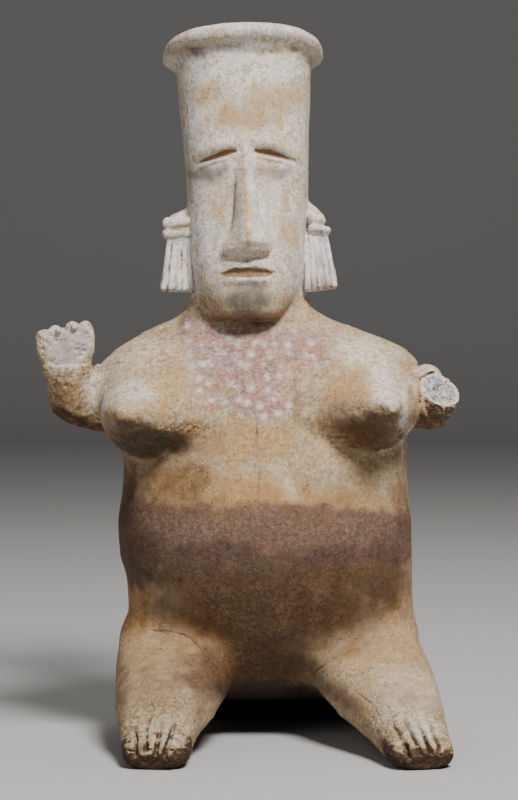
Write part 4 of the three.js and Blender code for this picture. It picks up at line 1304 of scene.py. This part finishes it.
colours = {
    "cream": (222, 210, 188), "chalk": (240, 240, 240), "haze": (176, 180, 190), "tan": (156, 126, 90),
    "buff": (190, 164, 124), "ochre": (178, 135, 70), "rust": (150, 93, 38), "mauve": (158, 111, 106),
    # umber serves real stains and painted shade; deep is a painted shade tone; soot serves real grey
    # deposits and painted shade
    "violet": (146, 120, 126), "red": (184, 116, 98), "umberStainAndShade": (44, 23, 8), "olive": (84, 51, 17),
    "deep": (32, 18, 11), "sootAndShade": (80, 76, 70), "raw": (200, 172, 128), "earth": (104, 76, 50),
    "core": (186, 188, 180), "coreDark": (88, 90, 92), "slit": (128, 92, 52), "grit": (236, 228, 212),
    "milk": (234, 228, 218), "sand": (176, 143, 106), "ash": (204, 204, 212), "bark": (132, 92, 50),
    "rose": (214, 200, 192), "plum": (54, 31, 24), "plumPale": (88, 55, 41), "dot": (238, 234, 236),
    "crust": (132, 100, 64), "coreGrit": (222, 222, 214), "coreLavenderHighlight": (138, 138, 172),
    "inside": (132, 92, 62), "gritWarm": (166, 132, 92), "iron": (66, 48, 36), "shade": (180, 168, 154),
    "plain": (255, 255, 255), "wipeDark": (206, 186, 162), "wipePale": (250, 236, 210),
    "stroke": (240, 232, 220),
}
tones = {name: tone(*rgb) for name, rgb in colours.items()}


def clayMaterial(name):
    box = Paintbox(name)
    place = box.millimetres()
    broad = box.grain(place, 30, 3, 0.5)
    cloud = box.grain(place, 9, 4, 0.62)
    mottle = box.grain(place, 2.6, 5, 0.74)
    fine = box.grain(place, 0.8, 4, 0.7)
    strokes = box.grain(box.stretched(place, (1, 1, 0.12)), 1.3, 3, 0.6)
    wipes = box.grain(box.stretched(place, (0.26, 0.26, 1)), 2.0, 4, 0.66, 1.1)
    haze = box.grain(box.stretched(place, (1.2, 1.1, 0.8)), 13, 4, 0.66)
    blotch = box.grain(box.stretched(place, (1, 1, 0.7)), 6.5, 4, 0.68, 0.3)
    wear = (cloud - 0.5) * 1.1 + (mottle - 0.5) * 1.1 + (fine - 0.5) * 1.2
    speckle = box.ease(fine * 0.5 + mottle * 0.5, 0.38, 0.62)

    def spread(zone, hard=0.32, wander=1.0):
        return box.ease(box.zone(zone) + wear * wander, 0.5 - hard, 0.5 + hard)

    def coat(share, name, blend="MIX"):
        nonlocal colour
        colour = box.mix(share, colour, tones[name], blend)

    colour = box.mix(box.ease(mottle + (cloud - 0.5) * 0.7, 0.38, 0.62), tones["tan"], tones["buff"])
    slip = box.mix(speckle, tones["cream"], tones["milk"])
    colour = box.mix(box.zone("pale") * 0.55 + spread("pale", 0.42) * 0.4, colour, slip)
    coat(box.ease(box.zone("pale") + wear * 0.9, 0.5, 1.1) * 0.85, "chalk")
    hazy = box.ease(haze + (mottle - 0.5) * 0.4, 0.48, 0.68)
    coat(hazy * box.zone("pale") * 0.7, "haze")
    coat(box.ease(blotch, 0.5, 0.63) * 0.42, "sand")
    coat(box.ease(blotch, 0.48, 0.37) * box.zone("pale") * 0.34, "ash")
    dusty = box.ease(haze, 0.49, 0.32) * box.ease(mottle, 0.42, 0.6)
    coat(dusty * 0.6, "ochre")
    coat(spread("ochre", 0.34, 1.5) * 0.7, "ochre")
    coat(box.ease(box.zone("ochre") + wear * 1.5, 0.8, 1.35) * 0.55, "rust")
    # the umber stain tone lies both on real stains and as painted shade on undersides, flanks, the seat and
    # the foot ends
    stain = box.mix(box.ease(fine * 0.7 + mottle * 0.3, 0.4, 0.6), tones["umberStainAndShade"], tones["olive"])
    stain = box.mix(box.ease(haze + wear * 0.5, 0.4, 0.78) * 0.44, stain, tones["bark"])
    colour = box.mix(spread("umberStainAndShade", 0.36, 0.9) * 0.9, colour, stain)
    # painted shade: the deep zone darkens undersides, the seat and the foot ends nearly to black
    coat(spread("deep", 0.45, 0.5) * 0.85, "deep")

    paint = box.mix(box.ease(broad, 0.4, 0.62), tones["mauve"], tones["violet"])
    paint = box.mix(spread("redder"), paint, tones["red"])
    paint = box.mix(box.ease(fine * 0.6 + mottle * 0.4, 0.48, 0.66) * 0.55, paint, tones["rose"])
    lowDown = box.ease(box.along(place, "Z"), 190, 156)
    paint = box.mix(lowDown * 0.92, paint, box.mix(speckle, tones["plum"], tones["plumPale"]))
    colour = box.mix(spread("mauve", 0.3, 1.0) * 0.8, colour, paint)

    # resist dots over the yoke, soft and half worn away
    spots = box.stretched(place, (1, 0.35, 1.04))
    quarter = (math.radians(90), 0, 0)
    turned = box.add("ShaderNodeMapping", {"vector_type": "POINT"}, {"Vector": spots, "Rotation": quarter})
    ring = box.dots(turned, 7.4, 0.84, True)
    upTop = box.ease(box.along(place, "Z"), 172, 186)
    dot = box.ease(ring + wear * 0.26, 0.5, 0.08) * box.ease(box.zone("mauve"), 0.3, 0.7) * upTop
    dot = dot * box.ease(cloud + (haze - 0.5), 0.34, 0.62) * box.ease(box.zone("raw"), 0.5, 0.1)
    coat(dot * 0.62, "dot")

    # grey over real dark deposits, and painted shade under the rim, beside the nose and under the breasts
    sootAndShadeShare = box.ease(box.zone("sootAndShade") + wear * 1.1, 0.25, 1.05)
    coat(sootAndShadeShare * 0.84, "sootAndShade")
    rawness = spread("raw", 0.36, 1.1)
    crusty = box.mix(box.ease(mottle, 0.4, 0.58), tones["crust"], tones["raw"])
    crusty = box.mix(box.zone("pale") * box.ease(cloud, 0.4, 0.6), crusty, tones["cream"])
    colour = box.mix(rawness * 0.55 * (1 - box.ease(box.zone("umberStainAndShade"), 0.3, 0.8)), colour, crusty)

    # the grey core of the break, with dark pits and pale grit
    clotted = box.ease(fine * 0.5 + mottle * 0.5, 0.38, 0.56)
    coreTone = box.mix(clotted, tones["coreDark"], tones["core"])
    coreTone = box.mix(box.ease(box.dots(place, 1.5), 0.3, 0.14), coreTone, tones["coreGrit"])
    # painted lavender highlight on the upper left of the core
    coreTone = box.mix(box.ease(box.zone("mauve"), 0.2, 0.7) * 0.6, coreTone, tones["coreLavenderHighlight"])
    colour = box.mix(box.zone("core"), colour, coreTone)

    # grooves and slits hold brown earth
    coat(box.ease(box.zone("groove"), 0.1, 0.8) * 0.8, "earth")
    coat(box.ease(box.zone("sunk"), 0.1, 0.8) * 0.9, "slit")
    coat(box.zone("within") * 0.8, "inside")

    # pale grit and iron specks
    gritGap = box.dots(place, 2.1)
    overPaint = box.ease(box.zone("umberStainAndShade") + box.zone("mauve") * 0.6, 0.3, 0.8)
    gritTone = box.mix(overPaint, tones["grit"], tones["gritWarm"])
    colour = box.mix(box.ease(gritGap, 0.24, 0.1) * box.ease(mottle, 0.46, 0.6) * 0.55, colour, gritTone)
    speckGap = box.dots(box.stretched(place, (1.07, 0.93, 1.03)), 3.4)
    speck = box.ease(speckGap, 0.17, 0.06) * box.ease(cloud, 0.36, 0.56)
    coat(speck * 0.65, "iron")
    colour = box.mix(0.75, colour, box.mix(speckle, tones["shade"], tones["plain"]), "MULTIPLY")
    wiped = box.ease(box.along(place, "Z"), 250, 225) * box.ease(box.along(place, "Y"), -26, 0, 0.35, 1.0)
    coat(box.ease(wipes, 0.5, 0.36) * wiped * 0.45, "wipeDark", "MULTIPLY")
    coat(box.ease(wipes, 0.5, 0.66) * wiped * 0.22, "wipePale", "SOFT_LIGHT")
    coat(box.ease(strokes, 0.4, 0.66) * 0.2, "stroke", "SOFT_LIGHT")

    rough = 0.58 + fine * 0.12 + rawness * 0.18 + sootAndShadeShare * 0.06 - box.zone("pale") * 0.05
    height = mottle * 0.6 + fine * 0.45 + strokes * 0.25 * (1 - rawness)
    height = height + wipes * wiped * 0.3 * (1 - rawness) - speck * 1.0 + rawness * fine * 0.9
    return box.finish(colour, rough, height, 0.9, 0.0007)


clayMaterial("burnished_clay")
figure.data.materials.clear()
figure.data.materials.append(burnishedClay)
figure.data.polygons.foreach_set("material_index", np.zeros(len(figure.data.polygons), np.int32))
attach(figure, "root")
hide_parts("clay_figure")

# floor, light and camera

room = {"wide": 6.0, "near": -5.5, "bend": 3.6, "curve": 1.4, "tall": 3.6, "tone": (0.40, 0.388, 0.37),
        "rough": 0.9, "steps": 24, "aim": (0, 0, 0.22), "worldTone": (0.82, 0.83, 0.85), "worldLevel": 0.09}


def sweepLine():
    line = [(room["near"], 0.0), (room["bend"], 0.0)]
    for i in range(1, room["steps"] + 1):
        a = math.pi / 2 * i / room["steps"]
        line.append((room["bend"] + room["curve"] * math.sin(a), room["curve"] * (1 - math.cos(a))))
    return line + [(line[-1][0], room["tall"])]


sweep = sweepLine()
floorMesh = bpy.data.meshes.new("floor")
floorMesh.from_pydata([(x, y, z) for y, z in sweep for x in (-room["wide"], room["wide"])], [],
                      [(2 * i, 2 * i + 1, 2 * i + 3, 2 * i + 2) for i in range(len(sweep) - 1)])
for side in floorMesh.polygons:
    side.use_smooth = True
floor = placed("floor", floorMesh)
floorPaint = bpy.data.materials.new("pale_floor")
floorPaint.use_nodes = True
floorShader = floorPaint.node_tree.nodes["Principled BSDF"]
floorShader.inputs["Base Color"].default_value = (*room["tone"], 1)
floorShader.inputs["Roughness"].default_value = room["rough"]
floorMesh.materials.append(floorPaint)

lamps = [
    {"name": "key", "place": (0.57, -1.15, 1.85), "size": 0.6, "power": 84},
    {"name": "fill", "place": (-1.4, -1.5, 1.3), "size": 1.2, "power": 9.0},
    {"name": "top", "place": (0.0, 0.6, 1.6), "size": 0.9, "power": 7},
]
for lamp in lamps:
    data = bpy.data.lights.new(lamp["name"], "AREA")
    data.energy, data.size = lamp["power"], lamp["size"]
    light = placed(lamp["name"], data)
    light.location = lamp["place"]
    light.rotation_euler = (Vector(room["aim"]) - Vector(lamp["place"])).to_track_quat("-Z", "Y").to_euler()
world = bpy.data.worlds.new("studio")
world.use_nodes = True
sky = world.node_tree.nodes["Background"]
sky.inputs[0].default_value = (*room["worldTone"], 1)
sky.inputs[1].default_value = room["worldLevel"]
bpy.context.scene.world = world

lens = bpy.data.cameras.new("camera")
lens.lens, lens.sensor_width, lens.clip_end = view["lens"], 36, 20
camera = placed("camera", lens)
camera.location = view["place"]
camera.rotation_euler = (math.radians(90 + view["pitch"]), 0, 0)
bpy.context.scene.camera = camera
